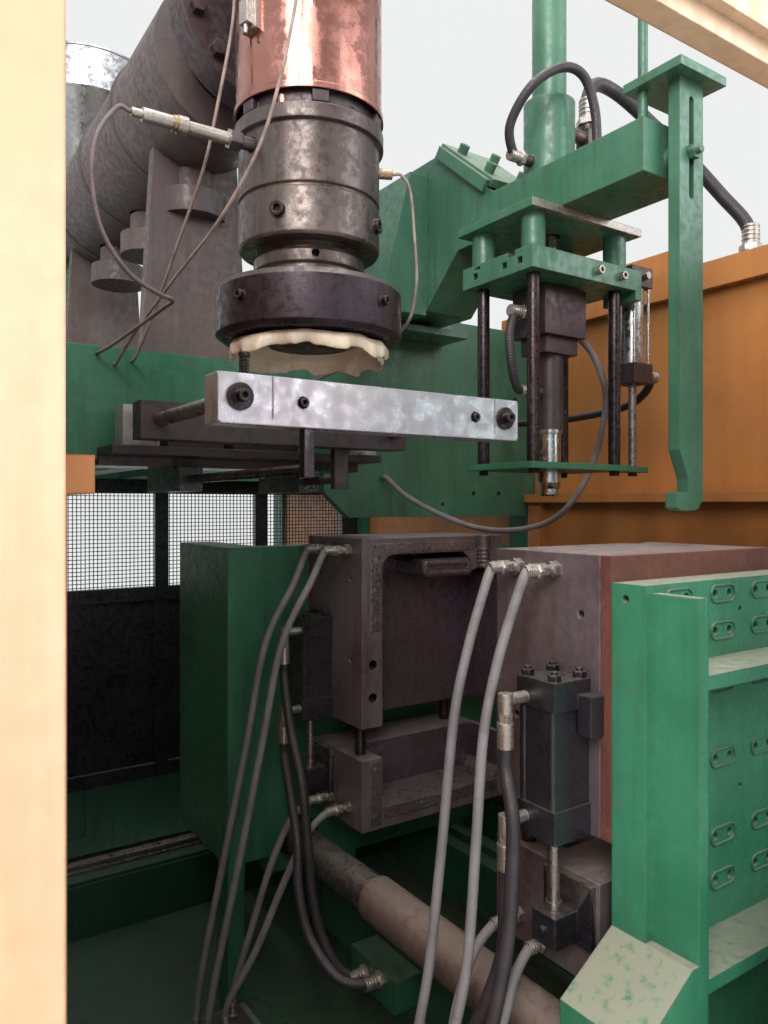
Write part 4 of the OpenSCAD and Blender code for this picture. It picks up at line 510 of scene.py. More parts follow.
dark_steel = surface("dark_steel", lin(92, 82, 84), lin(70, 60, 64), 0.45, metal=0.7, dust=0.4,
    edge=0.25, edge_colour=lin(140, 128, 124), streak=0.3, streak_colour=lin(62, 48, 44),
    spots=[(lin(100, 74, 62), 6, 0.5, 0.72, 0.45)])
bolt = surface("blackened_bolt", lin(46, 42, 44), lin(66, 58, 58), 0.38, metal=0.8, dust=0.35,
    edge=0.5, edge_colour=lin(150, 140, 136), scale=18)
die_steel = surface("die_steel", lin(104, 96, 92), lin(80, 72, 70), 0.36, metal=0.7, dust=0.3,
    edge=0.3, edge_colour=lin(164, 150, 146), streak=0.5, streak_colour=lin(74, 56, 54), scale=4,
    spots=[(lin(128, 98, 84), 7, 0.5, 0.74, 0.5), (lin(64, 54, 58), 3.5, 0.48, 0.72, 0.55)],
    brushed=(1, 1, 5))
ring_steel = surface("die_ring_steel", lin(58, 50, 57), lin(74, 64, 72), 0.34, metal=0.7,
    dust=0.3, edge=0.3, edge_colour=lin(150, 136, 140), streak=0.35,
    streak_colour=lin(56, 44, 50), scale=4, spots=[(lin(56, 46, 54), 4, 0.5, 0.72, 0.5)])
copper = surface("copper_sheet", lin(186, 132, 120), lin(160, 106, 94), 0.2, metal=0.97, dust=0.1,
    edge=0.15, edge_colour=lin(230, 190, 176), streak=0.45, streak_colour=lin(116, 74, 68),
    scale=2.2, bump=0.03, crevice_shade=0.4, spots=[(lin(132, 84, 76), 2.4, 0.5, 0.74, 0.5)],
    brushed=(3, 3, 0.5))
mould = surface("mould_metal", lin(132, 120, 124), lin(112, 99, 104), 0.42, metal=0.55, dust=0.45,
    edge=0.45, edge_colour=lin(182, 170, 166), streak=0.4, streak_colour=lin(104, 80, 68),
    scale=4, spots=[(lin(122, 90, 70), 4, 0.55, 0.74, 0.5), (lin(88, 78, 84), 9, 0.5, 0.72, 0.4)],
    brushed=(1, 1, 6), dust_colour=lin(158, 144, 138))
cavity = surface("cavity_metal", lin(116, 102, 112), lin(98, 86, 96), 0.3, metal=0.7, dust=0.25,
    edge=0.2, streak=0.3, streak_colour=lin(86, 72, 76), scale=3, bump=0.03,
    spots=[(lin(126, 102, 98), 3, 0.5, 0.74, 0.4)])
insert = surface("insert_steel", lin(146, 132, 134), lin(120, 106, 110), 0.34, metal=0.8,
    dust=0.2, edge=0.5, edge_colour=lin(198, 186, 182), streak=0.3, scale=8, brushed=(1, 1, 6))
rust_plate = surface("rusty_plate", lin(124, 74, 62), lin(100, 60, 54), 0.62, metal=0.2,
    dust=0.35, edge=0.2, streak=0.4, streak_colour=lin(78, 48, 44), scale=7,
    spots=[(lin(146, 96, 78), 12, 0.5, 0.7, 0.5)])
aluminium = surface("aluminium_bar", lin(188, 182, 188), lin(166, 160, 168), 0.36, metal=0.7,
    dust=0.3, edge=0.2, edge_colour=lin(214, 210, 212), streak=0.15,
    streak_colour=lin(140, 128, 124), scale=2.5, brushed=(10, 1, 1), bump=0.05)
stainless = surface("stainless", lin(182, 184, 186), lin(164, 164, 168), 0.26, metal=0.95,
    dust=0.2, edge=0.1, streak=0.15, brushed=(1, 1, 10), bump=0.04)
cover = surface("cover_sheet", lin(92, 80, 78), lin(76, 66, 66), 0.55, dust=0.5, edge=0.3,
    streak=0.4, streak_colour=lin(60, 50, 50), spots=[(lin(112, 90, 82), 5, 0.52, 0.74, 0.5)])
blue = surface("blue_paint", lin(62, 82, 118), lin(74, 96, 132), 0.4, dust=0.5, edge=0.3,
    coat=0.2)
grey_hose = surface("grey_hose", lin(132, 128, 130), lin(110, 106, 110), 0.6, dust=0.3, edge=0.0,
    streak=0.1, crevice_shade=0.5, scale=12, spots=[(lin(96, 84, 80), 16, 0.5, 0.7, 0.5)])
black_hose = surface("black_hose", lin(40, 35, 40), lin(56, 49, 54), 0.48, dust=0.45, edge=0.0,
    streak=0.1, crevice_shade=0.4, scale=12, dust_colour=lin(110, 98, 94))
cable_grey = surface("cable_sheath", lin(118, 104, 102), lin(94, 82, 82), 0.65, dust=0.3,
    edge=0.0, streak=0.1, scale=20)
wire_tan = surface("wire_sheath", lin(156, 136, 126), lin(118, 100, 94), 0.7, dust=0.2, edge=0.0,
    scale=24)
brass = surface("brass_fitting", lin(178, 160, 128), lin(150, 128, 98), 0.36, metal=0.85,
    dust=0.3, edge=0.2, scale=14)
zinc = surface("zinc_fitting", lin(184, 176, 168), lin(154, 144, 138), 0.36, metal=0.85, dust=0.3,
    edge=0.2, scale=14, spots=[(lin(128, 96, 74), 20, 0.55, 0.72, 0.4)])
bright = surface("calibration_steel", lin(212, 210, 212), lin(190, 188, 192), 0.16, metal=1.0,
    dust=0.05, edge=0.1, streak=0.25, streak_colour=lin(120, 110, 108), brushed=(12, 12, 1),
    bump=0.02)
# the residue's folds take a darker brown from the painted crevice shade
residue = surface("melt_residue", lin(238, 226, 206), lin(222, 202, 174), 0.42, dust=0.0,
    edge=0.0, streak=0.3, streak_colour=lin(190, 156, 122), crevice_shade=0.25,
    crevice_shade_colour=lin(150, 118, 92), scale=14, bump=0.3, coat=0.2)
wire_steel = surface("mesh_wire", lin(34, 34, 36), lin(52, 50, 52), 0.5, metal=0.6, dust=0.2,
    edge=0.0, scale=20)


def pane(name):
    """Clear guard pane with dust and wipe marks that make it a little cloudy."""
    m = bpy.data.materials.new(name)
    m.use_nodes = True
    t = m.node_tree
    L = t.links.new
    bsdf = next(n for n in t.nodes if n.type == "BSDF_PRINCIPLED")
    out = next(n for n in t.nodes if n.type == "OUTPUT_MATERIAL")
    bsdf.inputs["Base Color"].default_value = lin(206, 214, 212)
    bsdf.inputs["IOR"].default_value = 1.49
    w = node(t, "ShaderNodeGroup", node_tree=WEAR)
    w.inputs["Scale"].default_value = 3
    w.inputs["Bump"].default_value = 0.02
    r = node(t, "ShaderNodeMapRange")
    r.inputs["To Min"].default_value = 0.04
    r.inputs["To Max"].default_value = 0.3
    L(w.outputs["Streak"], r.inputs["Value"])
    L(r.outputs[0], bsdf.inputs["Roughness"])
    clear = node(t, "ShaderNodeBsdfTransparent")
    clear.inputs["Color"].default_value = (0.86, 0.9, 0.89, 1)
    mix = node(t, "ShaderNodeMixShader")
    amount = node(t, "ShaderNodeMapRange")
    amount.inputs["To Min"].default_value = 0.06
    amount.inputs["To Max"].default_value = 0.17
    L(w.outputs["Mottle"], amount.inputs["Value"])
    L(amount.outputs[0], mix.inputs[0])
    L(clear.outputs[0], mix.inputs[1])
    L(bsdf.outputs[0], mix.inputs[2])
    L(mix.outputs[0], out.inputs["Surface"])
    return m


glass = pane("guard_pane")

LOOK = {
    "base_frame": green_shaded, "base_panels": green_shaded, "shuttle_rails": steel, "upper_platform": green,
    "blow_bracket": green_upper, "guard_frame": beige, "side_guards": orange, "rear_guard": black,
    "oil_unit": green, "barrel": dark_steel, "barrel_cover": cover, "feed_hopper": stainless,
    "gearbox": green, "drive_motor": blue, "head_body": dark_steel, "copper_shield": copper,
    "die_body": die_steel, "die_ring": ring_steel, "head_cylinder": green, "melt_sensor": zinc,
    "pinch_mount": dark_steel, "air_filter": brass, "blow_mount": green_upper, "blow_cylinder": green_upper,
    "stripper_cylinder": dark_steel, "shuttle_cylinder": black, "die_core": dark_steel, "screw": steel,
    "hopper_lid": stainless, "front_door": beige, "hook_bar": green_upper, "pinch_bar_near": aluminium,
    "pinch_bar_far": dark_steel, "blow_pin": dark_steel, "stripper_plate": green, "carriage_bed": green_shaded,
    "shuttle_rod": steel, "near_platen": green_platen_lit, "tie_bars": steel, "rear_yoke": green,
    "clamp_cylinder": green, "near_mould": mould, "near_lift_cylinder": black, "far_platen": green,
    "clamp_rod": steel, "far_mould": mould, "far_lift_cylinder": black, "near_lower_mould": mould,
    "far_lower_mould": mould,
}
for name, material in LOOK.items():
    obj = NODES[name]
    obj.data.materials.clear()
    obj.data.materials.append(material)

# Finishes of solids that share a CAD node, told apart by where their faces lie (mm)
HEAD = (-306, -1023)
PIN = (417, -1023)


def off(p, axis):
    """Distance of a point from an upright axis."""
    return math.hypot(p.x - axis[0], p.y - axis[1])


def side(p):
    """Distance from the parting plane between the mould halves."""
    return abs(p.y + 1023)


def turn(p, axis, degrees):
    """How far a point lies from a direction round an upright axis, in degrees."""
    a = math.degrees(math.atan2(p.y - axis[1], p.x - axis[0]))
    return abs((a - degrees + 180) % 360 - 180)


def mould_zones():
    return [
        (zinc, lambda p: p.x < -7.3),
        (rust_plate, lambda p: side(p) > 536.5),
        (insert, lambda p: side(p) < 262.4),
        (insert, lambda p: math.hypot(p.x - 417, side(p) - 263) < 32.4 and p.z > 1412),
        (bolt, lambda p: 263.5 < side(p) < 325 and abs(p.x - 27) < 13
         and min(abs(p.z - 1172), abs(p.z - 1084)) < 13),
        (cavity, lambda p: 263.4 < side(p) < 396 and 57 < p.x < 477 and p.z < 1467.5),
    ]


def lower_zones():
    return [
        (black_rod, lambda p: p.z > 921 and p.x > 0),
        (steel, lambda p: p.x < -7.3 and p.z > 862.2),
        (black, lambda p: p.x < -7.3 and p.z > 792),
        (zinc, lambda p: p.x < -7.3),
        (insert, lambda p: side(p) < 262.4),
        (cavity, lambda p: 263.4 < side(p) < 396 and 57 < p.x < 477 and p.z > 785),
    ]


lift_zones = [(zinc, lambda p: p.x < -99.4), (bolt, lambda p: p.z > 1288.3)]
ZONES = {
    "near_mould": mould_zones(), "far_mould": mould_zones(),
    "near_lower_mould": lower_zones(), "far_lower_mould": lower_zones(),
    "near_lift_cylinder": lift_zones, "far_lift_cylinder": lift_zones,
    "copper_shield": [(zinc, lambda p: off(p, HEAD) > 155.4 and turn(p, HEAD, 196) < 13
                       and (2524 < p.z < 2625 or 2719 < p.z < 2810)),
                      (dark_steel, lambda p: off(p, HEAD) > 155.4 and 2679 < p.z < 2725)],
    "die_body": [(bolt, lambda p: off(p, HEAD) > 147.5 and abs(p.z - 2180) < 15.5
                  and min(turn(p, HEAD, a) for a in (-52, 38, 128, 218)) < 6.5),
                 (brass, lambda p: off(p, HEAD) > 150.5 and abs(p.z - 2320) < 12 and turn(p, HEAD, -25) < 6)],
    "die_ring": [(bolt, lambda p: abs(p.z - 2007) < 10.2 and off(p, HEAD) > 156
                  and min(turn(p, HEAD, a) for a in (20, 110, 200, 290)) < 4)],
    "blow_mount": [(zinc, lambda p: p.y < -1153.3)],
    "blow_cylinder": [(dark_steel, lambda p: off(p, PIN) > 68.2)],
    "stripper_cylinder": [(green_upper, lambda p: p.x < 640.8),
                          (zinc, lambda p: p.x > 717.3 or p.y < -1123.3),
                          (stainless, lambda p: 1990.5 < p.z < 2199.5)],
    "blow_pin": [(bright, lambda p: p.z < 1800 and off(p, PIN) < 35),
                 (steel, lambda p: p.z > 2166.5 and off(p, PIN) < 23),
                 (zinc, lambda p: p.x > 492.3 or p.x < 341.7)],
    "stripper_plate": [(black_rod, lambda p: p.z > 1706.5 and p.x < 600),
                       (steel, lambda p: p.z > 1706.5), (bolt, lambda p: p.z < 1689.7)],
    "pinch_bar_near": [(bolt, lambda p: p.y < -1265.3), (bolt, lambda p: p.z > 1824.4),
                       (steel, lambda p: p.y > -1204.6 and p.z > 1768), (black_rod, lambda p: p.z < 1737.6),
                       (bolt, lambda p: p.y < -1240 and abs(p.z - 1782) < 8.3
                        and min(abs(p.x + 448), abs(p.x + 48)) < 8.3)],
    "pinch_mount": [(aluminium, lambda p: p.z > 1735.8 and -700.4 < p.y < -629.6
                     and min(abs(p.x + 569), abs(p.x - 33)) < 42.4),
                    (black, lambda p: p.z < 1694.2)],
    "hook_bar": [(zinc, lambda p: p.y < -1449.4 and abs(p.z - 2378) < 30 and p.z < 2534)],
    "guard_frame": [(glass, lambda p: abs(p.y + 1860) < 3.4 and 80 < p.x < 928 and 620 < p.z < 2150),
                    (zinc, lambda p: p.z > 2320.4),
                    (orange, lambda p: p.x > 968 and p.y > -1842)],
    "front_door": [(glass, lambda p: abs(p.y + 1892) < 3.4 and 80 < p.x < 898 and 900 < p.z < 2090),
                   (black, lambda p: p.y < -1903.3)],
    "melt_sensor": [(dark_steel, lambda p: p.x > -500.5), (brass, lambda p: -614.6 < p.x < -605.6)],
    "air_filter": [(green, lambda p: p.y > -603.3), (brass, lambda p: p.z < 1800.2), (zinc, lambda p: True)],
    "feed_hopper": [(green, lambda p: p.z < 2910.3)],
    "tie_bars": [(sleeve, lambda p: any(54 < math.hypot(p.x - x, p.z - z) < 57.5
                                        for x, z in ((-40, 620), (690, 620), (690, 1330)))),
                 (dark_steel, lambda p: any(math.hypot(p.x - x, p.z - z) > 58
                                            for x, z in ((-40, 620), (690, 620), (690, 1330)))
                  and (p.y < -1742 or p.y > 269))],
    "near_platen": [(bolt, lambda p: p.x < -186 and 572.2 < p.z < 608.3)],
    "far_platen": [(bolt, lambda p: p.x < -246 and 200.2 < p.z < 236.3)],
    "rear_guard": [],
}


def zoned(name, drop=None):
    """A copy of a CAD node's mesh with its solids' own finishes; it stands for the node."""
    cad = NODES[name]
    mesh = cad.data.copy()
    mesh.name = name + "_look"
    rules = ZONES[name]
    mesh.materials.clear()
    for m in [LOOK[name]] + [rule[0] for rule in rules]:
        mesh.materials.append(m)
    gone = []
    for poly in mesh.polygons:
        centre = poly.center * 1000
        poly.material_index = 0
        for k, (_, test) in enumerate(rules):
            if test(centre):
                poly.material_index = k + 1
                break
        if drop and drop(centre):
            gone.append(poly.index)
    if gone:
        bm = bmesh.new()
        bm.from_mesh(mesh)
        bm.faces.ensure_lookup_table()
        bmesh.ops.delete(bm, geom=[bm.faces[i] for i in gone], context="FACES")
        bm.to_mesh(mesh)
        bm.free()
    obj = bpy.data.objects.new(name + "_look", mesh)
    bpy.context.scene.collection.objects.link(obj)
    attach(obj, cad["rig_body"])
    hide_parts(name)
    return obj


for name in ZONES:
    zoned(name, (lambda p: 917.5 < p.y < 925.5 and 1240.5 < p.z < 1649.5
                 and any(x0 + 1 < p.x < x0 + 419 for x0 in (-940, -460, 20, 500)))
          if name == "rear_guard" else None)

# Hoses and cables

HOSES = {
    # piece: (CAD node, body or pair, diameter, material, stiffness, corrugation, points)
    "near_water_hose_a": ("near_water_hoses", "near_clamp", 19, grey_hose, "medium", 0, [
        (-51, -1352, 1477), (-80, -1352, 1477), (-110, -1352, 1410), (-142, -1353, 1325),
        (-176, -1354, 1200), (-206, -1354, 960), (-232, -1350, 750), (-250, -1345, 650),
        (-250, -1345, 608)]),
    "near_water_hose_b": ("near_water_hoses", "near_clamp", 19, grey_hose, "medium", 0, [
        (-51, -1450, 1477), (-82, -1450, 1477), (-113, -1444, 1404), (-146, -1436, 1300),
        (-174, -1434, 1180), (-194, -1438, 1000), (-218, -1441, 790), (-255, -1440, 655),
        (-255, -1440, 608)]),
    "near_low_hose_a": ("near_low_hoses", ("near_lower", "near_clamp"), 19, grey_hose, "medium", 0, [
        (-43, -1352, 780), (-75, -1352, 780), (-125, -1356, 750), (-175, -1372, 694),
        (-205, -1385, 640), (-205, -1385, 608)]),
    "near_low_hose_b": ("near_low_hoses", ("near_lower", "near_clamp"), 19, grey_hose, "medium", 0, [
        (-43, -1450, 780), (-75, -1450, 780), (-122, -1462, 752), (-168, -1480, 698),
        (-205, -1484, 640), (-205, -1484, 608)]),
    "near_oil_hose_a": ("near_oil_hoses", "near_clamp", 25, black_hose, "stiff", 0, [
        (-147, -1463, 1166), (-147, -1463, 1130), (-158, -1494, 1050), (-166, -1500, 960),
        (-178, -1502, 850), (-214, -1502, 720), (-250, -1500, 645), (-250, -1500, 608)]),
    "near_oil_hose_b": ("near_oil_hoses", "near_clamp", 25, black_hose, "stiff", 0, [
        (-147, -1463, 950), (-147, -1463, 905), (-152, -1460, 800), (-180, -1446, 710),
        (-205, -1430, 645), (-205, -1430, 608)]),
    "far_water_hose_a": ("far_water_hoses", "far_clamp", 19, grey_hose, "medium", 0, [
        (-51, -694, 1477), (-82, -694, 1477), (-122, -688, 1396), (-196, -665, 1233),
        (-246, -650, 969), (-302, -638, 688), (-360, -622, 400), (-378, -612, 276),
        (-378, -612, 236)]),
    "far_water_hose_b": ("far_water_hoses", "far_clamp", 19, grey_hose, "medium", 0, [
        (-51, -596, 1477), (-82, -596, 1477), (-124, -594, 1384), (-204, -584, 1225),
        (-254, -574, 960), (-312, -562, 670), (-370, -556, 390), (-386, -556, 276),
        (-386, -556, 236)]),
    "far_low_hose_a": ("far_low_hoses", ("far_lower", "far_clamp"), 19, grey_hose, "medium", 0, [
        (-43, -694, 780), (-75, -694, 780), (-130, -690, 738), (-190, -672, 620),
        (-255, -635, 440), (-310, -600, 320), (-320, -590, 272), (-320, -590, 236)]),
    "far_low_hose_b": ("far_low_hoses", ("far_lower", "far_clamp"), 19, grey_hose, "medium", 0, [
        (-43, -596, 780), (-75, -596, 780), (-135, -592, 734), (-190, -584, 620),
        (-240, -572, 460), (-279, -556, 320), (-285, -552, 272), (-285, -552, 236)]),
    "far_oil_hose_a": ("far_oil_hoses", ("far_clamp", "carriage"), 25, black_hose, "stiff", 0, [
        (-147, -583, 1166), (-147, -583, 1132), (-156, -636, 1010), (-158, -706, 880),
        (-158, -738, 740), (-154, -752, 620), (-140, -772, 520), (-114, -808, 440),
        (-75, -830, 410), (-40, -830, 410)]),
    "far_oil_hose_b": ("far_oil_hoses", ("far_clamp", "carriage"), 25, black_hose, "stiff", 0, [
        (-147, -583, 950), (-147, -583, 915), (-158, -644, 825), (-172, -710, 730),
        (-186, -744, 620), (-178, -790, 520), (-142, -866, 448), (-80, -900, 430),
        (-40, -900, 430)]),
    "pin_hose_a": ("pin_hoses", "pin", 25, black_hose, "stiff", 0.16, [
        (325, -1023, 2100), (296, -1023, 2100), (270, -1030, 2050), (264, -1036, 1998),
        (272, -1036, 1946), (300, -1026, 1902), (330, -1023, 1896), (359, -1023, 1896)]),
    "blow_hose": ("blow_hose", ("pin", "frame"), 18, grey_hose, "medium", 0, [
        (509, -1023, 2060), (532, -1023, 2060), (592, -1020, 2020), (646, -1010, 1956),
        (688, -985, 1905), (716, -950, 1837), (755, -890, 1753), (740, -840, 1646),
        (693, -780, 1559), (621, -700, 1523), (541, -600, 1525), (445, -520, 1568),
        (356, -452, 1629), (308, -408, 1688), (308, -383, 1688)]),
    "beam_loop_hose": ("beam_hoses", "frame", 24, black_hose, "stiff", 0, [
        (321, -1023, 2500), (290, -1023, 2500), (256, -1044, 2560), (276, -1100, 2640),
        (345, -1134, 2692), (415, -1142, 2690), (452, -1146, 2620), (460, -1148, 2540),
        (460, -1148, 2480), (460, -1148, 2452)]),
    "elbow_hose": ("beam_hoses", "frame", 38, black_hose, "stiff", 0, [
        (567, -1023, 2650), (567, -1023, 2682), (578, -1016, 2744), (622, -1010, 2790),
        (700, -1020, 2780), (800, -1055, 2710), (900, -1110, 2610), (975, -1168, 2500),
        (1014, -1215, 2420), (1022, -1228, 2362), (1022, -1228, 2332)]),
    "stroke_hose": ("beam_hoses", "frame", 24, black_hose, "stiff", 0, [
        (735, -1085, 1963), (762, -1085, 1963), (790, -1040, 1926), (808, -950, 1896),
        (830, -750, 1885), (848, -550, 1888), (850, -412, 1895), (850, -383, 1895)]),
    "sensor_lead": ("sensor_cable", "frame", 9, cable_grey, "medium", 0.1, [
        (-691, -1053, 2322), (-716, -1053, 2322), (-752, -1056, 2262), (-762, -1060, 2180),
        (-746, -1064, 2090), (-700, -1062, 2024), (-640, -1040, 2000), (-590, -980, 2006),
        (-574, -880, 2016), (-590, -760, 2000), (-624, -650, 1970), (-640, -608, 1960),
        (-640, -583, 1960)]),
    "heater_wire_a": ("head_wires", "frame", 7, wire_tan, "medium", 0.08, [
        (-476, -1023, 2680), (-476, -1023, 2655), (-486, -1034, 2560), (-508, -1022, 2420),
        (-524, -980, 2290), (-540, -880, 2170), (-552, -740, 2040), (-560, -640, 1962),
        (-560, -606, 1950), (-560, -583, 1950)]),
    "heater_wire_b": ("head_wires", "frame", 7, wire_tan, "medium", 0.08, [
        (-397, -1163, 2680), (-397, -1163, 2655), (-420, -1186, 2560), (-458, -1200, 2400),
        (-494, -1180, 2260), (-530, -1080, 2150), (-562, -900, 2070), (-590, -720, 1990),
        (-600, -608, 1940), (-600, -583, 1940)]),
    "sensor_wire_c": ("head_wires", "frame", 7, wire_tan, "medium", 0.08, [
        (-143, -1099, 2320), (-124.9, -1107.4, 2320), (-106, -1114, 2290), (-96, -1116, 2200),
        (-86, -1110, 2080), (-84, -1060, 2000), (-92, -900, 1958), (-100, -700, 1934),
        (-105, -606, 1930), (-105, -583, 1930)]),
}
for name, (cad, body, d, material, stiff, wave, points) in HOSES.items():
    line = led_line(points, d, 2.0 if wave else max(6.0, d * 0.5))
    pair = isinstance(body, tuple)
    obj = Shape().tube(line, d, 16 if d > 10 else 10, wave, 7.0 if d > 10 else 4.5).emit(
        name, None if pair else body, material, hides=(cad,), smooth=60)
    if pair:
        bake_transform(obj)


# Wire mesh of the rear guard

def wire_mesh_tree():
    """Crossed wires on a rectangle in the XZ plane: uprights in front of level wires."""
    g = bpy.data.node_groups.new("wire_mesh", "GeometryNodeTree")
    for name, kind, default in (("Width", "NodeSocketFloat", 0.42), ("Height", "NodeSocketFloat", 0.41),
                                ("Pitch", "NodeSocketFloat", 0.017), ("Wire", "NodeSocketFloat", 0.0032),
                                ("Material", "NodeSocketMaterial", None)):
        s = g.interface.new_socket(name, in_out="INPUT", socket_type=kind)
        if default is not None:
            s.default_value = default
    g.interface.new_socket("Geometry", in_out="OUTPUT", socket_type="NodeSocketGeometry")
    L = g.links.new
    gi, go = node(g, "NodeGroupInput"), node(g, "NodeGroupOutput")
    join = node(g, "GeometryNodeJoinGeometry")
    for along, across, upright in (("Width", "Height", True), ("Height", "Width", False)):
        count = node(g, "ShaderNodeMath", operation="DIVIDE")
        L(gi.outputs[along], count.inputs[0])
        L(gi.outputs["Pitch"], count.inputs[1])
        step = node(g, "ShaderNodeCombineXYZ")
        L(gi.outputs["Pitch"], step.inputs["X" if upright else "Z"])
        line = node(g, "GeometryNodeMeshLine", mode="OFFSET")
        L(count.outputs[0], line.inputs["Count"])
        L(step.outputs[0], line.inputs["Offset"])
        size = node(g, "ShaderNodeCombineXYZ")
        L(gi.outputs["Wire"], size.inputs["Y"])
        L(gi.outputs["Wire"], size.inputs["X" if upright else "Z"])
        L(gi.outputs[across], size.inputs["Z" if upright else "X"])
        cube = node(g, "GeometryNodeMeshCube")
        L(size.outputs[0], cube.inputs["Size"])
        half = node(g, "ShaderNodeMath", operation="MULTIPLY")
        half.inputs[1].default_value = 0.5
        L(gi.outputs[across], half.inputs[0])
        shift = node(g, "ShaderNodeCombineXYZ")
        L(half.outputs[0], shift.inputs["Z" if upright else "X"])
        half_pitch = node(g, "ShaderNodeMath", operation="MULTIPLY")
        half_pitch.inputs[1].default_value = 0.5
        L(gi.outputs["Pitch"], half_pitch.inputs[0])
        L(half_pitch.outputs[0], shift.inputs["X" if upright else "Z"])
        back = node(g, "ShaderNodeMath", operation="MULTIPLY")
        back.inputs[1].default_value = -0.45 if upright else 0.45
        L(gi.outputs["Wire"], back.inputs[0])
        L(back.outputs[0], shift.inputs["Y"])
        put = node(g, "GeometryNodeInstanceOnPoints")
        L(line.outputs[0], put.inputs["Points"])
        L(cube.outputs["Mesh"], put.inputs["Instance"])
        move = node(g, "GeometryNodeTransform")
        L(put.outputs[0], move.inputs["Geometry"])
        L(shift.outputs[0], move.inputs["Translation"])
        L(move.outputs[0], join.inputs[0])
    real = node(g, "GeometryNodeRealizeInstances")
    L(join.outputs[0], real.inputs[0])
    paint = node(g, "GeometryNodeSetMaterial")
    L(real.outputs[0], paint.inputs["Geometry"])
    L(gi.outputs["Material"], paint.inputs["Material"])
    L(paint.outputs[0], go.inputs[0])
    return g


def grown(name, tree, values, at, body):
    """Runs a node tree once, keeps its mesh as a plain piece at a place given in millimetres."""
    host = bpy.data.objects.new(name + "_host", bpy.data.meshes.new(name + "_host"))
    bpy.context.scene.collection.objects.link(host)
    mod = host.modifiers.new("grow", "NODES")
    mod.node_group = tree
    for item in tree.interface.items_tree:
        if item.item_type == "SOCKET" and item.in_out == "INPUT" and item.name in values:
            mod[item.identifier] = values[item.name]
    bpy.context.view_layer.update()
    deps = bpy.context.evaluated_depsgraph_get()
    mesh = bpy.data.meshes.new_from_object(host.evaluated_get(deps))
    mesh.name = name
    bpy.data.objects.remove(host)
    mesh.transform(Matrix.Translation([v / 1000 for v in at]))
    obj = bpy.data.objects.new(name, mesh)
    bpy.context.scene.collection.objects.link(obj)
    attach(obj, body)
    return obj


MESH_TREE = wire_mesh_tree()
for i in range(4):
    grown("rear_mesh_%d" % (i + 1), MESH_TREE,
          {"Width": 0.42, "Height": 0.41, "Pitch": 0.017, "Wire": 0.0032, "Material": wire_steel},
          (-940 + i * 480, 921, 1240), "frame")


# Small parts

def melt_skin():
    """Thin scalloped skin of plastic left on the die lip."""
    bm = bmesh.new()
    n = 144
    wave = [sum(math.sin(k * 2 * math.pi / n * f + ph) * a for f, ph, a in
                ((4, 0.4, 7), (7, 1.7, 6), (12, 3.1, 4.5), (19, 0.9, 3), (31, 2.2, 1.5))) for k in range(n)]
    rows = [(104, 1950, 0), (112, 1943.5, 0), (130, 1942.5, 0.2), (150, 1943, 0.3), (164, 1940, 0.45),
            (170, 1930, 0.8), (169, 1917, 1.2), (165, 1912, 1.35), (161, 1918, 1.2), (156, 1931, 0.8),
            (140, 1938, 0.5), (118, 1940, 0.2), (104, 1946, 0)]
    rings = []
    for r, z, w in rows:
        ring = []
        for k in range(n):
            a = 2 * math.pi * k / n
            lump = rng.uniform(-0.5, 0.5)
            rad = r + wave[k] * w * 0.8 + lump
            drop = (wave[k] * 0.5 + abs(wave[(k + 17) % n]) * 0.4) * w
            ring.append(bm.verts.new((HEAD[0] + rad * math.cos(a), HEAD[1] + rad * math.sin(a),
                                      z - drop + lump * 0.4)))
        rings.append(ring)
    for i in range(len(rings)):
        a, b = rings[i], rings[(i + 1) % len(rings)]
        for k in range(n):
            j = (k + 1) % n
            bm.faces.new([a[k], a[j], b[j], b[k]])
    shape = Shape()
    shape.bm.free()
    shape.bm = bm
    return shape.emit("melt_residue", "frame", residue, "bowl_plastic", smooth=70)


melt_skin()

# Heater stubs and screws in the gap between the heater shield and the die body
gap_parts = Shape()
for k in range(12):
    a = 2 * math.pi * (k + 0.3) / 12
    x, y = HEAD[0] + 134 * math.cos(a), HEAD[1] + 134 * math.sin(a)
    if k % 3 == 1:
        gap_parts.use(1).rod((x, y, 2384.5), (x, y, 2411), 26, 4)
    else:
        gap_parts.use(0).socket((x, y, 2384.3), (0, 0, 1), 20, 16)
gap_parts.emit("shield_gap_screws", "frame", [bolt, copper], "dark_steel")

# Spring on the stud of the near pinch bar
spring = []
for k in range(96):
    a = 2 * math.pi * k / 12
    spring.append((-548 + 8.2 * math.cos(a), -1235 + 8.2 * math.sin(a), 1826 + 30 * k / 95))
Shape().tube(spring, 2.4, 6).emit("pinch_stud_spring", "pinch_near", bolt, "dark_steel")


def collars(name, body, ends, material=zinc, slot="ground_steel"):
    """Crimped ferrules with a hexagon, at ends of (point, way out of the fitting, hose diameter)."""
    shape = Shape()
    for at, away, d in ends:
        at, away = Vector(at), Vector(away).normalized()
        shape.hexagon(at + away * 0.2, away, d * 1.45, d * 0.5)
        r = d / 2
        grooves = [(0, d * 0.5), (r * 1.3, d * 0.5)]
        for k in range(4):
            h = d * (0.6 + 0.32 * k)
            grooves += [(r * 1.3, h), (r * 1.2, h + d * 0.06), (r * 1.2, h + d * 0.16)]
            grooves.append((r * 1.3, h + d * 0.22))
        grooves += [(r * 1.22, d * 1.95), (r * 1.02, d * 1.95)]
        shape.lathe(grooves + [(0, d * 1.95)], at, away, 24)
    return shape.emit(name, body, material, slot)


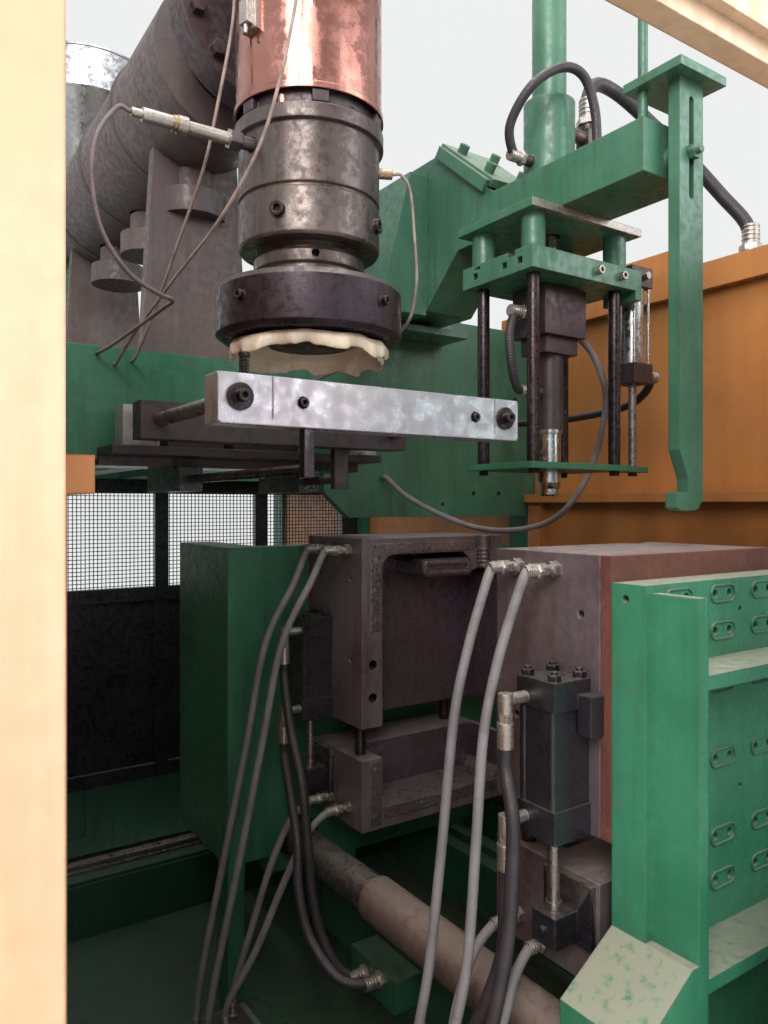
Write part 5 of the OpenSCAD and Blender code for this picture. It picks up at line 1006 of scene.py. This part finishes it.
UPWARD = (0, 0, 1)
TO_LEFT = (-1, 0, 0)
COLLARS = {
    "near_water_collars": ("near_clamp", [
        ((-51, -1352, 1477), TO_LEFT, 19), ((-51, -1450, 1477), TO_LEFT, 19),
        ((-250, -1345, 608), UPWARD, 19), ((-255, -1440, 608), UPWARD, 19)]),
    "near_low_collars": ("near_lower", [
        ((-43, -1352, 780), TO_LEFT, 19), ((-43, -1450, 780), TO_LEFT, 19)]),
    "near_manifold_collars": ("near_clamp", [
        ((-205, -1385, 608), UPWARD, 19), ((-205, -1484, 608), UPWARD, 19),
        ((-250, -1500, 608), UPWARD, 25), ((-205, -1430, 608), UPWARD, 25)]),
    "far_water_collars": ("far_clamp", [
        ((-51, -694, 1477), TO_LEFT, 19), ((-51, -596, 1477), TO_LEFT, 19),
        ((-378, -612, 236), UPWARD, 19), ((-386, -556, 236), UPWARD, 19),
        ((-320, -590, 236), UPWARD, 19), ((-285, -552, 236), UPWARD, 19)]),
    "far_low_collars": ("far_lower", [
        ((-43, -694, 780), TO_LEFT, 19), ((-43, -596, 780), TO_LEFT, 19)]),
    "valve_collars": ("carriage", [
        ((-40, -830, 410), TO_LEFT, 25), ((-40, -900, 430), TO_LEFT, 25)]),
    "pin_collars": ("pin", [
        ((325, -1023, 2100), TO_LEFT, 25), ((359, -1023, 1896), TO_LEFT, 25),
        ((509, -1023, 2060), (1, 0, 0), 18)]),
    "beam_collars": ("frame", [
        ((321, -1023, 2500), TO_LEFT, 24), ((567, -1023, 2650), UPWARD, 38),
        ((460, -1148, 2452), UPWARD, 24), ((735, -1085, 1963), (1, 0, 0), 24),
        ((1022, -1228, 2332), UPWARD, 38)]),
}
for name, (body, ends) in COLLARS.items():
    collars(name, body, ends)

# Screw heads on the guard's top beam
guard_screws = Shape()
for x in range(-900, 901, 300):
    guard_screws.socket((x, -1912, 2300), (0, -1, 0), 13, 8)
guard_screws.emit("guard_screws", "frame", bolt, "black_paint")

# Surroundings

def surroundings():
    world = bpy.data.worlds.new("pale_room")
    bpy.context.scene.world = world
    world.use_nodes = True
    t = world.node_tree
    L = t.links.new
    t.nodes.clear()
    out = node(t, "ShaderNodeOutputWorld")
    seen = node(t, "ShaderNodeBackground")
    seen.inputs["Color"].default_value = (0.86, 0.87, 0.87, 1)
    seen.inputs["Strength"].default_value = 1.0
    lit = node(t, "ShaderNodeBackground")
    lit.inputs["Color"].default_value = (0.95, 0.98, 1.0, 1)
    lit.inputs["Strength"].default_value = 0.85
    mix = node(t, "ShaderNodeMixShader")
    path = node(t, "ShaderNodeLightPath")
    L(path.outputs["Is Camera Ray"], mix.inputs[0])
    L(lit.outputs[0], mix.inputs[1])
    L(seen.outputs[0], mix.inputs[2])
    L(mix.outputs[0], out.inputs["Surface"])

    floor = Shape().box((-9000, 9000), (-9000, 9000), (-20, 0), 0)
    m = bpy.data.materials.new("floor_grey")
    m.use_nodes = True
    b = next(n for n in m.node_tree.nodes if n.type == "BSDF_PRINCIPLED")
    b.inputs["Base Color"].default_value = (0.62, 0.62, 0.61, 1)
    b.inputs["Roughness"].default_value = 0.7
    obj = floor.emit("floor", None, m)

    def light(name, at, aim, size, power, colour=(1, 1, 1)):
        data = bpy.data.lights.new(name, "AREA")
        data.size = size
        data.energy = power
        data.color = colour
        o = bpy.data.objects.new(name, data)
        bpy.context.scene.collection.objects.link(o)
        o.location = at
        o.rotation_euler = (Vector(aim) - Vector(at)).to_track_quat("-Z", "Y").to_euler()
    light("key", (-3.2, -4.2, 4.4), (0.0, -0.8, 1.4), 2.6, 260, (1.0, 0.97, 0.93))
    light("fill", (2.6, -4.6, 3.4), (0.2, -0.9, 1.4), 3.0, 110, (0.95, 0.98, 1.0))
    light("top", (-0.2, -1.2, 5.4), (0.0, -1.0, 1.2), 2.4, 120, (1.0, 0.99, 0.97))


surroundings()
bpy.context.scene.view_settings.view_transform = "Standard"
